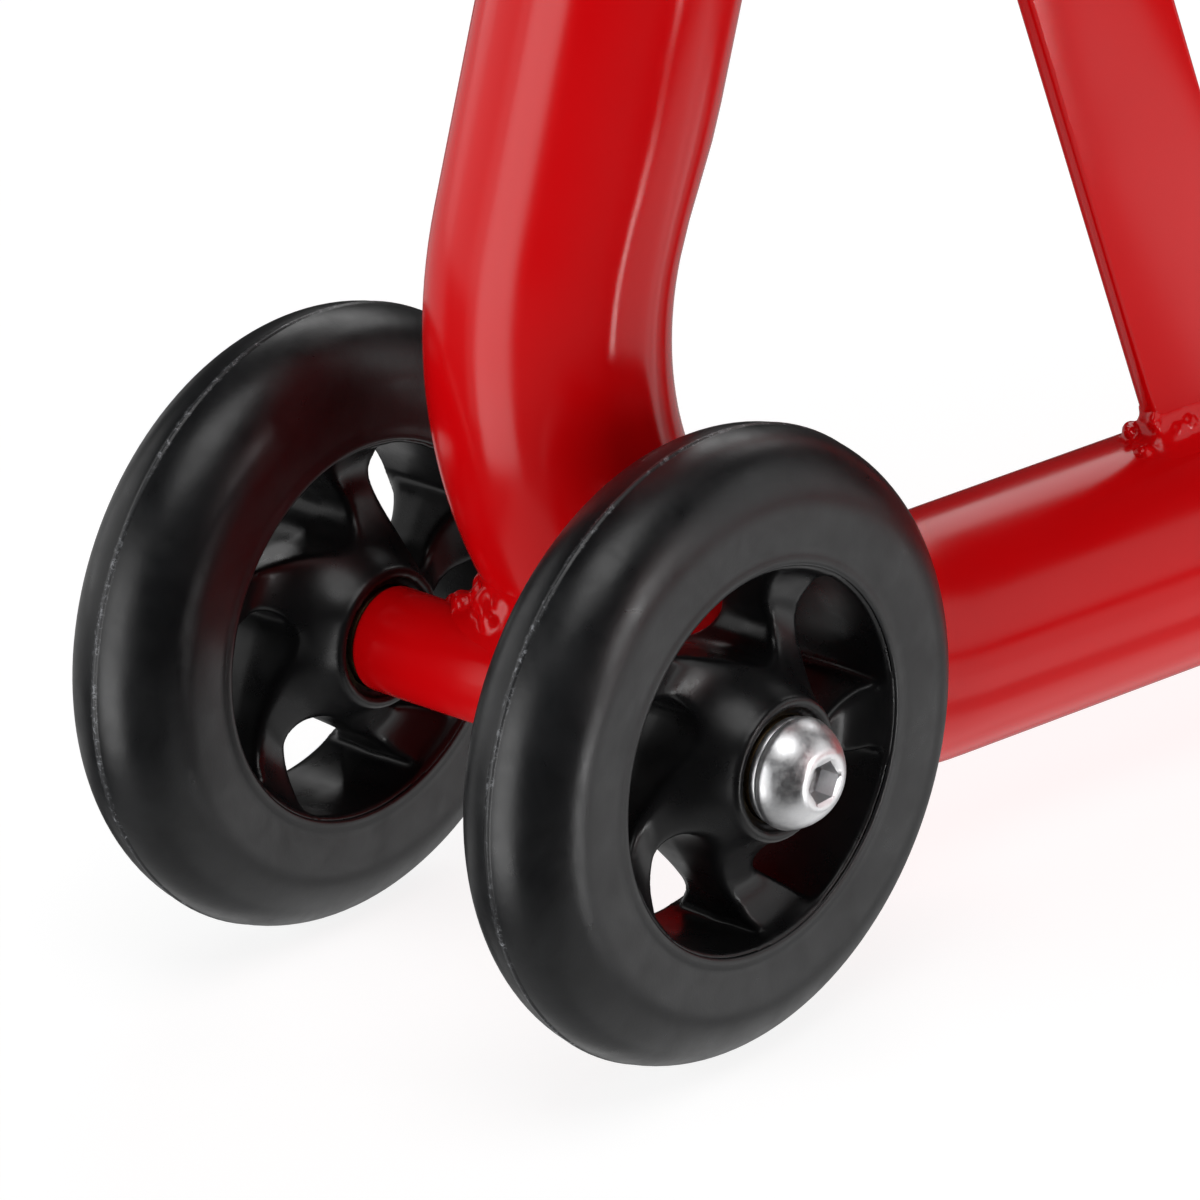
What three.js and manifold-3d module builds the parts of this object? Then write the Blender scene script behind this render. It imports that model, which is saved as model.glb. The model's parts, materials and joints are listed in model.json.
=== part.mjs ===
// Rear paddock stand for a motorcycle: two bent side tubes on twin wheels, a cross tube,
// a bolted U handle and two swivelling lift brackets.
// Millimetres. +X is the stand's width, +Y runs from the wheels to the handle, +Z is up.
// The ground is Z = 0.

import * as THREE from 'three';
import { mergeVertices } from 'three/addons/utils/BufferGeometryUtils.js';
import Module from 'manifold-3d';

const wasm = await Module();
wasm.setup();

// ---------------------------------------------------------------- driving dimensions

const FIT_GAP = 0.3; // space kept between two pieces that touch

const WHEEL_RADIUS = 50;
const WHEEL_HALF_SPACING = 40.55; // from the middle of a wheel pair to a wheel's middle
const PAIR_X = 190; // from the stand's middle to the middle of a wheel pair

const TUBE_RADIUS = 19.7;
const TUBE_WALL = 3;
const LOWER_TUBE_Z = 32;
const TOE_IN = THREE.MathUtils.degToRad(11.4); // the side frames close towards the handle
const HEEL_BEND_RADIUS = 67.8;
const HEEL_BEND_START = 79; // behind the axle, where the lower tube starts to bend
const UPRIGHT_LEAN = THREE.MathUtils.degToRad(17.5);
const SIDE_TUBE_END = 380; // behind the axle

const SOCKET_Z = 322; // height of the lift bracket's axis
const UPRIGHT_OVER_SOCKET = 30;

const STRAP_WIDTH = 26;
const STRAP_THICKNESS = 4;
const STRAP_FOOT = 127.7; // behind the axle, where its front edge meets the lower tube
const STRAP_LEAN = THREE.MathUtils.degToRad(16.2);
const STRAP_LENGTH = 255;

const CROSS_TUBE_RADIUS = 16;
const CROSS_TUBE_BACK = 265;

const HANDLE_RADIUS = 16;
const HANDLE_WALL = 2;
const HANDLE_INSERT_START = 322;
const HANDLE_RISE_START = 410;
const HANDLE_RISE = THREE.MathUtils.degToRad(30);
const HANDLE_LEG = 230;
const HANDLE_RISE_RADIUS = 80;
const HANDLE_CORNER_RADIUS = 50;
const HANDLE_BOLT_BACK = 350;
const GRIP_RADIUS = 20;
const GRIP_LENGTH = 112;

const handleBackY = HANDLE_RISE_START * Math.cos(TOE_IN) + HANDLE_LEG * Math.cos(HANDLE_RISE);
const totalLength = WHEEL_RADIUS + handleBackY + GRIP_RADIUS;
const AXLE_Y = WHEEL_RADIUS - totalLength / 2; // centres the stand on the origin

// ---------------------------------------------------------------- materials

function material(colour, roughness, metalness) {
  return new THREE.MeshStandardMaterial({ color: colour, roughness, metalness });
}

const redPaint = material(0xb4000a, 0.28, 0.1);
const zinc = material(0xc9cacb, 0.25, 1);
const steel = material(0x8d9094, 0.4, 1);
const tyreRubber = material(0x2b2c2d, 0.75, 0);
const blackPlastic = material(0x1d1e1f, 0.45, 0);
const padRubber = material(0x232323, 0.85, 0);
const bronze = material(0x9a7a4a, 0.45, 1);

// ---------------------------------------------------------------- solids

const X_AXIS = new THREE.Vector3(1, 0, 0);
const Y_AXIS = new THREE.Vector3(0, 1, 0);
const Z_AXIS = new THREE.Vector3(0, 0, 1);

function weld(geometry) {
  const bare = geometry.clone();
  bare.deleteAttribute('normal');
  bare.deleteAttribute('uv');
  const welded = mergeVertices(bare, 1e-4);
  const source = welded.index.array;
  const kept = [];
  for (let i = 0; i < source.length; i += 3) {
    const [a, b, c] = [source[i], source[i + 1], source[i + 2]];
    if (a !== b && b !== c && c !== a) {
      kept.push(a, b, c);
    }
  }
  welded.setIndex(kept);
  return welded;
}

function toSolid(geometry) {
  const welded = weld(geometry);
  return new wasm.Manifold(new wasm.Mesh({
    numProp: 3,
    vertProperties: new Float32Array(welded.attributes.position.array),
    triVerts: new Uint32Array(welded.index.array),
  }));
}

function toGeometry(solid) {
  const mesh = solid.getMesh();
  const geometry = new THREE.BufferGeometry();
  geometry.setAttribute('position', new THREE.BufferAttribute(mesh.vertProperties, 3));
  geometry.setIndex(Array.from(mesh.triVerts));
  geometry.computeVertexNormals();
  return geometry;
}

function cut(geometry, ...tools) {
  let solid = toSolid(geometry);
  for (const tool of tools) {
    solid = solid.subtract(toSolid(tool));
  }
  return toGeometry(solid);
}

// Turns a geometry made along +Y to point along a direction, and moves it to a place.
function aim(geometry, direction, place) {
  const turn = new THREE.Quaternion().setFromUnitVectors(Y_AXIS, direction);
  geometry.applyQuaternion(turn);
  geometry.translate(place.x, place.y, place.z);
  return geometry;
}

// A solid round bar from one point to another.
function bar(from, to, radius, sides = 16) {
  const span = to.clone().sub(from);
  const middle = from.clone().add(to).multiplyScalar(0.5);
  const geometry = new THREE.CylinderGeometry(radius, radius, span.length(), sides);
  return aim(geometry, span.normalize(), middle);
}

// A body of revolution from [radius, height] pairs that close on themselves or on the axis.
function turned(profile, sides) {
  return new THREE.LatheGeometry(profile.map(([r, h]) => new THREE.Vector2(r, h)), sides);
}

// A straight hollow tube along +Y, from one height to another.
function ring(inner, outer, low, high, sides = 16) {
  return turned([[inner, low], [outer, low], [outer, high], [inner, high], [inner, low]], sides);
}

function roundShape(radius) {
  const shape = new THREE.Shape();
  shape.absarc(0, 0, radius, 0, Math.PI * 2, false);
  return shape;
}

// Straight runs joined by arcs. Each straight is one step and each arc a few.
class BentPath extends THREE.Curve {
  constructor(corners, radii, arcSteps) {
    super();
    this.runs = [];
    let start = corners[0];
    for (let i = 1; i < corners.length - 1; i += 1) {
      const arriving = corners[i].clone().sub(corners[i - 1]).normalize();
      const leaving = corners[i + 1].clone().sub(corners[i]).normalize();
      const turn = arriving.angleTo(leaving);
      const radius = radii[i - 1];
      const setback = radius * Math.tan(turn / 2);
      const arcStart = corners[i].clone().addScaledVector(arriving, -setback);
      const inward = leaving.clone().addScaledVector(arriving, -arriving.dot(leaving)).normalize();
      this.addStraight(start, arcStart);
      this.addArc(arcStart, arriving, inward, radius, turn, arcSteps[i - 1]);
      start = corners[i].clone().addScaledVector(leaving, setback);
    }
    this.addStraight(start, corners[corners.length - 1]);
    this.steps = this.runs.reduce((sum, run) => sum + run.steps, 0);
  }

  addStraight(from, to) {
    const along = to.clone().sub(from);
    this.runs.push({
      steps: 1,
      point: (t) => from.clone().addScaledVector(along, t),
      tangent: () => along.clone().normalize(),
    });
  }

  addArc(from, along, inward, radius, turn, steps) {
    const centre = from.clone().addScaledVector(inward, radius);
    this.runs.push({
      steps,
      point: (t) => centre.clone()
        .addScaledVector(inward, -radius * Math.cos(turn * t))
        .addScaledVector(along, radius * Math.sin(turn * t)),
      tangent: (t) => along.clone().multiplyScalar(Math.cos(turn * t))
        .addScaledVector(inward, Math.sin(turn * t)),
    });
  }

  locate(t) {
    let left = t * this.steps;
    for (const run of this.runs) {
      if (left <= run.steps) {
        return { run, t: left / run.steps };
      }
      left -= run.steps;
    }
    return { run: this.runs[this.runs.length - 1], t: 1 };
  }

  getPoint(t) {
    const place = this.locate(t);
    return place.run.point(place.t);
  }

  getTangent(t) {
    const place = this.locate(t);
    return place.run.tangent(place.t);
  }

  getUtoTmapping(u) {
    return u;
  }
}

function tubeAlong(path, outerRadius, innerRadius, sides) {
  const shape = roundShape(outerRadius);
  if (innerRadius > 0) {
    shape.holes.push(roundShape(innerRadius));
  }
  return new THREE.ExtrudeGeometry(shape, {
    steps: path.steps, curveSegments: sides / 2, extrudePath: path,
  });
}

// ---------------------------------------------------------------- side frame

// A side frame is drawn in its own upright plane: back from the axle, up from the ground,
// and across the plane. side is -1 for the left frame and 1 for the right one.
function framePlane(side) {
  const back = new THREE.Vector3(-side * Math.sin(TOE_IN), Math.cos(TOE_IN), 0);
  const across = back.clone().cross(Z_AXIS);
  const matrix = new THREE.Matrix4().makeBasis(back, Z_AXIS, across);
  return matrix.setPosition(side * PAIR_X, AXLE_Y, 0);
}

function inFrame(side, back, up, across = 0) {
  return new THREE.Vector3(back, up, across).applyMatrix4(framePlane(side));
}

const heelTurn = Math.PI / 2 + UPRIGHT_LEAN;
const heelCorner = HEEL_BEND_START - HEEL_BEND_RADIUS * Math.tan(heelTurn / 2);

// A point on the upright's centre line at a height.
function uprightAt(side, height) {
  const rise = height - LOWER_TUBE_Z;
  return inFrame(side, heelCorner + rise * Math.tan(UPRIGHT_LEAN), height);
}

function uprightDirection(side) {
  return uprightAt(side, SOCKET_Z).sub(uprightAt(side, LOWER_TUBE_Z)).normalize();
}

function uprightTop(side) {
  return uprightAt(side, SOCKET_Z).addScaledVector(uprightDirection(side), UPRIGHT_OVER_SOCKET);
}

function sideTubePath(side) {
  const corners = [
    inFrame(side, SIDE_TUBE_END, LOWER_TUBE_Z),
    inFrame(side, heelCorner, LOWER_TUBE_Z),
    uprightTop(side),
  ];
  return new BentPath(corners, [HEEL_BEND_RADIUS], [8]);
}

// The side tube as a plain full bar, a little oversize, to cope the pieces that meet it.
function sideTubeBlank(side) {
  return tubeAlong(sideTubePath(side), TUBE_RADIUS + FIT_GAP, 0, 20);
}

function sidePoint(side, x, y, z) {
  return new THREE.Vector3(side * x, y, z);
}

// The axle tube is welded into a shallow notch in the outside of the heel bend.
const AXLE_TUBE_RADIUS = 8.4;
const AXLE_TUBE_HALF = 25.75;
const BOLT_RADIUS = 5;
const BOLT_HOLE_RADIUS = 5.35;
const axleZ = WHEEL_RADIUS;

function alongAxle(side, radius, half) {
  const from = sidePoint(side, PAIR_X - half, AXLE_Y, axleZ);
  const to = sidePoint(side, PAIR_X + half, AXLE_Y, axleZ);
  return bar(from, to, radius);
}

function axleTube(side) {
  const body = ring(BOLT_HOLE_RADIUS, AXLE_TUBE_RADIUS, -AXLE_TUBE_HALF, AXLE_TUBE_HALF);
  return aim(body, X_AXIS, sidePoint(side, PAIR_X, AXLE_Y, axleZ));
}

// The lift bracket's socket is a short tube through the upright, along X.
const SOCKET_RADIUS = 13.5;
const SOCKET_BORE = 10.35;
const SOCKET_HALF = 26;
const CLAMP_STUD_RADIUS = 5;
const CLAMP_HOLE_RADIUS = 5.4;
const CLAMP_BOSS_RADIUS = 10;
const CLAMP_BOSS_TOP = 28;

function socketCentre(side) {
  return uprightAt(side, SOCKET_Z);
}

// The clamp points backwards, square to the upright and to the socket.
function clampDirection(side) {
  const direction = uprightDirection(side).cross(X_AXIS);
  return direction.multiplyScalar(Math.sign(direction.y));
}

function alongClamp(side, from, to, radius) {
  const centre = socketCentre(side);
  const direction = clampDirection(side);
  const start = centre.clone().addScaledVector(direction, from);
  const end = centre.clone().addScaledVector(direction, to);
  return bar(start, end, radius);
}

function socketTube(side) {
  const body = ring(SOCKET_BORE, SOCKET_RADIUS, -SOCKET_HALF, SOCKET_HALF);
  aim(body, X_AXIS, socketCentre(side));
  return cut(body, alongClamp(side, 0, 2 * SOCKET_RADIUS, CLAMP_HOLE_RADIUS));
}

function clampBoss(side) {
  const sunk = 4; // extra length that the coping takes off again
  const body = alongClamp(side, TUBE_RADIUS - sunk, CLAMP_BOSS_TOP, CLAMP_BOSS_RADIUS);
  const hole = alongClamp(side, 0, 2 * CLAMP_BOSS_TOP, CLAMP_HOLE_RADIUS);
  return cut(body, sideTubeBlank(side), hole);
}

// The handle's bolts and the brackets' screws are M8 button heads.
const SCREW_RADIUS = 4;
const SCREW_HOLE_RADIUS = 4.4;
const SCREW_HEAD_RADIUS = 7;
const SCREW_HEAD_HEIGHT = 4.2;
const SCREW_SOCKET_RADIUS = 2.9;
const SCREW_SOCKET_DEPTH = 2.5;

function handleBoltHole(side) {
  const from = inFrame(side, HANDLE_BOLT_BACK, LOWER_TUBE_Z, -2 * TUBE_RADIUS);
  const to = inFrame(side, HANDLE_BOLT_BACK, LOWER_TUBE_Z, 2 * TUBE_RADIUS);
  return bar(from, to, SCREW_HOLE_RADIUS);
}

// A screw along +Y, from its tip up to the seat of its head.
function buttonScrew(tip, seat) {
  const top = seat + SCREW_HEAD_HEIGHT;
  const body = turned([
    [0, tip], [SCREW_RADIUS, tip], [SCREW_RADIUS, seat], [SCREW_HEAD_RADIUS, seat],
    [SCREW_HEAD_RADIUS - 0.6, seat + 2], [SCREW_HEAD_RADIUS - 3, top], [0, top],
  ], 12);
  const socketLength = 2 * SCREW_SOCKET_DEPTH; // half of it stands above the head
  const socket = new THREE.CylinderGeometry(SCREW_SOCKET_RADIUS, SCREW_SOCKET_RADIUS, socketLength, 6);
  socket.translate(0, top, 0);
  return cut(body, socket);
}

function sideTube(side) {
  const tube = tubeAlong(sideTubePath(side), TUBE_RADIUS, TUBE_RADIUS - TUBE_WALL, 20);
  const socketFrom = socketCentre(side).addScaledVector(X_AXIS, -2 * TUBE_RADIUS);
  const socketTo = socketCentre(side).addScaledVector(X_AXIS, 2 * TUBE_RADIUS);
  return cut(
    tube,
    alongAxle(side, AXLE_TUBE_RADIUS + FIT_GAP, 2 * TUBE_RADIUS),
    bar(socketFrom, socketTo, SOCKET_RADIUS + FIT_GAP),
    alongClamp(side, 0, 2 * TUBE_RADIUS, CLAMP_HOLE_RADIUS),
    handleBoltHole(side),
  );
}

function braceStrap(side) {
  const along = new THREE.Vector2(-Math.sin(STRAP_LEAN), Math.cos(STRAP_LEAN));
  const footFront = new THREE.Vector2(STRAP_FOOT, LOWER_TUBE_Z + TUBE_RADIUS);
  const footBack = footFront.clone().add(new THREE.Vector2(STRAP_WIDTH / Math.cos(STRAP_LEAN), 0));
  const sunk = 6; // extra length that the coping takes off again
  const shape = new THREE.Shape([
    footFront.clone().addScaledVector(along, -sunk),
    footBack.clone().addScaledVector(along, -sunk),
    footBack.clone().addScaledVector(along, STRAP_LENGTH),
    footFront.clone().addScaledVector(along, STRAP_LENGTH),
  ]);
  const body = new THREE.ExtrudeGeometry(shape, { depth: STRAP_THICKNESS, bevelEnabled: false });
  body.translate(0, 0, -STRAP_THICKNESS / 2);
  body.applyMatrix4(framePlane(side));
  return cut(body, sideTubeBlank(side));
}

function topCap(side) {
  const plug = TUBE_RADIUS - TUBE_WALL - 2 * FIT_GAP;
  const plugDepth = 10;
  const body = turned([
    [0, -plugDepth], [plug, -plugDepth], [plug, FIT_GAP], [TUBE_RADIUS, FIT_GAP],
    [TUBE_RADIUS, 2], [TUBE_RADIUS - 3, 4], [0, 4.6],
  ], 16);
  return aim(body, uprightDirection(side), uprightTop(side));
}

// ---------------------------------------------------------------- clamp screw

const CLAMP_STUD_START = 10.6;
const KNOB_START = 34;
const KNOB_NECK_RADIUS = 9;
const KNOB_NECK_LENGTH = 7;
const KNOB_HEAD_LENGTH = 14;
const KNOB_RADIUS = 21;
const KNOB_LOBES = 5;
const KNOB_LOBE_DEPTH = 5;
const KNOB_BORE_DEPTH = 14;

function clampStud(side) {
  return alongClamp(side, CLAMP_STUD_START, KNOB_START + KNOB_BORE_DEPTH - 0.5, CLAMP_STUD_RADIUS);
}

function knobOutline() {
  const shape = new THREE.Shape();
  const points = KNOB_LOBES * 6;
  for (let i = 0; i < points; i += 1) {
    const angle = (i / points) * Math.PI * 2;
    const radius = KNOB_RADIUS + (Math.cos(angle * KNOB_LOBES) - 1) * (KNOB_LOBE_DEPTH / 2);
    const x = radius * Math.cos(angle);
    const y = radius * Math.sin(angle);
    if (i === 0) {
      shape.moveTo(x, y);
    } else {
      shape.lineTo(x, y);
    }
  }
  shape.closePath();
  return shape;
}

function clampKnob(side) {
  const head = new THREE.ExtrudeGeometry(knobOutline(), { depth: KNOB_HEAD_LENGTH, bevelEnabled: false });
  head.rotateX(-Math.PI / 2);
  head.translate(0, KNOB_NECK_LENGTH, 0);
  const sunk = 2; // how far the neck runs into the head
  const neckLength = KNOB_NECK_LENGTH + sunk;
  const neck = new THREE.CylinderGeometry(KNOB_NECK_RADIUS, KNOB_NECK_RADIUS, neckLength, 20);
  neck.translate(0, neckLength / 2, 0);
  const bore = new THREE.CylinderGeometry(CLAMP_HOLE_RADIUS, CLAMP_HOLE_RADIUS, 2 * KNOB_BORE_DEPTH, 16);
  const body = toGeometry(toSolid(head).add(toSolid(neck)).subtract(toSolid(bore)));
  const place = socketCentre(side).addScaledVector(clampDirection(side), KNOB_START);
  return aim(body, clampDirection(side), place);
}

// ---------------------------------------------------------------- lift bracket

const SHANK_RADIUS = 10;
const SHOULDER_RADIUS = 6;
const SHANK_OUTER = 34; // from the socket's centre outwards
const FLANGE_FACE = 42; // from the socket's centre inwards, to the bracket's near face
const FLANGE_THICKNESS = 5;
const BRACKET_REACH = 48;
const BRACKET_HALF_WIDTH = 25;
const BRACKET_BELOW = 35;
const BRACKET_ABOVE = 24;
const BASE_PAD = 8;
const BRACKET_BEND = 5;
const SIDE_PAD = 6;
const SIDE_PAD_HOLE_RADIUS = 9;
const PAD_CHAMFER = 2;
const SCREW_HOLE_DEPTH = 18;
const BRACKET_SCREW_LENGTH = 16;

// A place beside the socket's centre: inwards along X, across along Y, up along Z.
function besideSocket(side, inwards, across = 0, up = 0) {
  return socketCentre(side).add(new THREE.Vector3(-side * inwards, across, up));
}

function inwardAxis(side) {
  return new THREE.Vector3(-side, 0, 0);
}

function bracketShank(side) {
  const shoulderEnd = FLANGE_FACE + FLANGE_THICKNESS + FIT_GAP;
  const holeEnd = shoulderEnd - SCREW_HOLE_DEPTH;
  const body = turned([
    [0, -SHANK_OUTER], [SHANK_RADIUS - 1, -SHANK_OUTER], [SHANK_RADIUS, -SHANK_OUTER + 1],
    [SHANK_RADIUS, FLANGE_FACE - FIT_GAP], [SHOULDER_RADIUS, FLANGE_FACE - FIT_GAP],
    [SHOULDER_RADIUS, shoulderEnd], [SCREW_HOLE_RADIUS, shoulderEnd], [SCREW_HOLE_RADIUS, holeEnd],
    [0, holeEnd],
  ], 16);
  return aim(body, inwardAxis(side), socketCentre(side));
}

function bracketScrew(side) {
  const seat = FLANGE_FACE + FLANGE_THICKNESS + 2 * FIT_GAP;
  return aim(buttonScrew(seat - BRACKET_SCREW_LENGTH, seat), inwardAxis(side), socketCentre(side));
}

// Extrudes an outline drawn as [inwards, up] from the socket's centre, along Y.
function acrossBracket(side, outline, halfWidth) {
  const points = outline.map(([inwards, up]) => new THREE.Vector2(-side * inwards, up));
  const body = new THREE.ExtrudeGeometry(new THREE.Shape(points), {
    depth: 2 * halfWidth, bevelEnabled: false,
  });
  body.rotateX(Math.PI / 2);
  body.translate(0, halfWidth, 0);
  const centre = socketCentre(side);
  body.translate(centre.x, centre.y, centre.z);
  return body;
}

function liftBracket(side) {
  const outer = FLANGE_FACE;
  const inner = FLANGE_FACE + FLANGE_THICKNESS;
  const floor = -BRACKET_BELOW + FLANGE_THICKNESS;
  const tip = FLANGE_FACE + BRACKET_REACH;
  const bend = 0.3 * BRACKET_BEND; // the middle of the rounded bend, off the sharp corner
  const plate = acrossBracket(side, [
    [outer, BRACKET_ABOVE], [outer, -BRACKET_BELOW + BRACKET_BEND],
    [outer + bend, -BRACKET_BELOW + bend], [outer + BRACKET_BEND, -BRACKET_BELOW],
    [tip, -BRACKET_BELOW], [tip, floor], [inner, floor], [inner, BRACKET_ABOVE],
  ], BRACKET_HALF_WIDTH);
  const holeStart = besideSocket(side, outer - FLANGE_THICKNESS);
  const holeEnd = besideSocket(side, inner + FLANGE_THICKNESS);
  return cut(plate, bar(holeStart, holeEnd, SHOULDER_RADIUS + FIT_GAP));
}

function basePad(side) {
  const start = FLANGE_FACE + FLANGE_THICKNESS + SIDE_PAD + 2 * FIT_GAP;
  const end = FLANGE_FACE + BRACKET_REACH;
  const low = -BRACKET_BELOW + FLANGE_THICKNESS + FIT_GAP;
  const high = low + BASE_PAD;
  return acrossBracket(side, [
    [start, low], [end, low], [end, high - PAD_CHAMFER], [end - PAD_CHAMFER, high], [start, high],
  ], BRACKET_HALF_WIDTH);
}

function sidePad(side) {
  const start = FLANGE_FACE + FLANGE_THICKNESS + FIT_GAP;
  const end = start + SIDE_PAD;
  const low = -BRACKET_BELOW + FLANGE_THICKNESS + FIT_GAP;
  const high = BRACKET_ABOVE - 1;
  const pad = acrossBracket(side, [
    [start, low], [end, low], [end, high - PAD_CHAMFER], [end - PAD_CHAMFER, high], [start, high],
  ], BRACKET_HALF_WIDTH);
  const holeStart = besideSocket(side, start - SIDE_PAD);
  const holeEnd = besideSocket(side, end + SIDE_PAD);
  return cut(pad, bar(holeStart, holeEnd, SIDE_PAD_HOLE_RADIUS));
}

// ---------------------------------------------------------------- cross tube, handle, feet

function crossTube() {
  const ends = [-1, 1].map((side) => inFrame(side, CROSS_TUBE_BACK, LOWER_TUBE_Z));
  const body = ring(CROSS_TUBE_RADIUS - TUBE_WALL, CROSS_TUBE_RADIUS, ends[0].x, ends[1].x);
  aim(body, X_AXIS, new THREE.Vector3(0, ends[0].y, LOWER_TUBE_Z));
  return cut(body, sideTubeBlank(-1), sideTubeBlank(1));
}

function handleCorners() {
  const rise = new THREE.Vector3(0, Math.cos(HANDLE_RISE), Math.sin(HANDLE_RISE));
  const leg = (side) => {
    const turn = inFrame(side, HANDLE_RISE_START, LOWER_TUBE_Z);
    const corner = turn.clone().addScaledVector(rise, HANDLE_LEG);
    return [inFrame(side, HANDLE_INSERT_START, LOWER_TUBE_Z), turn, corner];
  };
  return [...leg(-1), ...leg(1).reverse()];
}

function handleTube() {
  const radii = [HANDLE_RISE_RADIUS, HANDLE_CORNER_RADIUS, HANDLE_CORNER_RADIUS, HANDLE_RISE_RADIUS];
  const path = new BentPath(handleCorners(), radii, [2, 4, 4, 2]);
  const tube = tubeAlong(path, HANDLE_RADIUS, HANDLE_RADIUS - HANDLE_WALL, 16);
  return cut(tube, handleBoltHole(-1), handleBoltHole(1));
}

function handleGrip() {
  const corner = handleCorners()[2];
  const inner = HANDLE_RADIUS + 0.5;
  const half = GRIP_LENGTH / 2;
  const chamfer = 1.5;
  const body = turned([
    [inner, -half], [GRIP_RADIUS - chamfer, -half], [GRIP_RADIUS, chamfer - half],
    [GRIP_RADIUS, half - chamfer], [GRIP_RADIUS - chamfer, half], [inner, half], [inner, -half],
  ], 20);
  return aim(body, X_AXIS, new THREE.Vector3(0, corner.y, corner.z));
}

// The outward direction across a side frame.
function outwards(side) {
  return inFrame(side, 0, 0, side).sub(inFrame(side, 0, 0));
}

const HANDLE_NUT_THICKNESS = 6.5;
const HANDLE_NUT_RADIUS = 7.5; // to its corners
const HANDLE_BOLT_SHOWING = 3; // beyond the nut

function handleBolt(side) {
  const tip = -(TUBE_RADIUS + HANDLE_NUT_THICKNESS + HANDLE_BOLT_SHOWING);
  const body = buttonScrew(tip, TUBE_RADIUS + FIT_GAP);
  return aim(body, outwards(side), inFrame(side, HANDLE_BOLT_BACK, LOWER_TUBE_Z));
}

function handleNut(side) {
  const body = new THREE.CylinderGeometry(HANDLE_NUT_RADIUS, HANDLE_NUT_RADIUS, HANDLE_NUT_THICKNESS, 6);
  const holeLength = 2 * HANDLE_NUT_THICKNESS;
  const hole = new THREE.CylinderGeometry(SCREW_HOLE_RADIUS, SCREW_HOLE_RADIUS, holeLength, 16);
  const place = -(TUBE_RADIUS + FIT_GAP + HANDLE_NUT_THICKNESS / 2);
  const centre = inFrame(side, HANDLE_BOLT_BACK, LOWER_TUBE_Z).addScaledVector(outwards(side), place);
  return aim(cut(body, hole), outwards(side), centre);
}

const FOOT_BACK = 300;
const FOOT_HALF_LENGTH = 22;
const FOOT_HALF_WIDTH = 17;
const FOOT_PLATE_THICKNESS = 3;
const FOOT_CHAMFER = 3;
const tubeUnderside = LOWER_TUBE_Z - TUBE_RADIUS;
const footTop = tubeUnderside - 2 * FIT_GAP - FOOT_PLATE_THICKNESS;

// Extrudes an outline drawn as [back from the foot's middle, up] across the lower tube.
function acrossFoot(side, outline) {
  const points = outline.map(([back, up]) => new THREE.Vector2(FOOT_BACK + back, up));
  const body = new THREE.ExtrudeGeometry(new THREE.Shape(points), {
    depth: 2 * FOOT_HALF_WIDTH, bevelEnabled: false,
  });
  body.translate(0, 0, -FOOT_HALF_WIDTH);
  return body.applyMatrix4(framePlane(side));
}

function footPlate(side) {
  const high = tubeUnderside - FIT_GAP;
  const low = high - FOOT_PLATE_THICKNESS;
  const end = FOOT_HALF_LENGTH;
  return acrossFoot(side, [[-end, low], [end, low], [end, high], [-end, high]]);
}

function rubberFoot(side) {
  const end = FOOT_HALF_LENGTH;
  return acrossFoot(side, [
    [FOOT_CHAMFER - end, 0], [end - FOOT_CHAMFER, 0], [end, FOOT_CHAMFER], [end, footTop],
    [-end, footTop], [-end, FOOT_CHAMFER],
  ]);
}

// ---------------------------------------------------------------- wheels

// Wheel profiles are [radius, height] with the height along the axle, outwards from the frame.
const TYRE_BORE = 31.2;
const HUB_RIM_RADIUS = 30.9;
const HUB_RIM_INNER = 29.6;
const HUB_RIM_HALF = 10.3;
const HUB_BOSS_RADIUS = 11;
const HUB_BOSS_HALF = 15.4;
const COUNTERBORE_RADIUS = 9.6;
const COUNTERBORE_DEPTH = 1.2;
const BUSH_RADIUS = 7.9;
const BUSH_HALF = 14.5;
const BOLT_HEAD_RADIUS = 8.75;
const BOLT_HEAD_SEAT = 16.4;
const BOLT_HEAD_TOP = 22.8;
const BOLT_SOCKET_RADIUS = 3.46;
const BOLT_SOCKET_DEPTH = 3.5;
const BOLT_TIP = 8; // from the middle of the wheel pair
const WASHER_RADIUS = 8.4;
const SPOKES = 5;

// Mirrors half a profile, from the bore's lower edge round to the upper one.
function bothWays(half) {
  const mirrored = half.map(([r, h]) => [r, -h]);
  return [...mirrored, ...half.reverse(), mirrored[0]];
}

function tyre() {
  return turned(bothWays([
    [TYRE_BORE, 10.6], [36, 11.3], [42.5, 10.9], [47.6, 7.4], [WHEEL_RADIUS, 2],
  ]), 24);
}

// The swept edge of a hub opening, in from the rim and out to it again, as [radius, degrees
// from the opening's middle]. The rim closes it.
const HUB_OPENING = [
  [HUB_RIM_INNER, 24], [24.6, 22], [20.6, 13], [17.3, -1], [15.4, -14], [15.1, -27],
  [16.8, -35], [19.2, -36], [22.4, -31], [26, -25], [HUB_RIM_INNER, -22],
];

// Angles are seen along the axle from +X, and go from +Y towards +Z once the hub is in place.
function hubOpening(middle) {
  const angleAt = (degrees) => THREE.MathUtils.degToRad(180 + middle + degrees);
  const edge = HUB_OPENING.map(([radius, degrees]) => new THREE.Vector2(
    radius * Math.cos(angleAt(degrees)), radius * Math.sin(angleAt(degrees)),
  ));
  const shape = new THREE.Shape();
  shape.moveTo(edge[0].x, edge[0].y);
  shape.splineThru(edge.slice(1));
  shape.absarc(0, 0, HUB_RIM_INNER, angleAt(-22), angleAt(24), false);
  const opening = new THREE.ExtrudeGeometry(shape, {
    depth: 4 * HUB_BOSS_HALF, bevelEnabled: false, curveSegments: 1,
  });
  opening.translate(0, 0, -2 * HUB_BOSS_HALF);
  return opening.rotateX(-Math.PI / 2);
}

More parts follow.
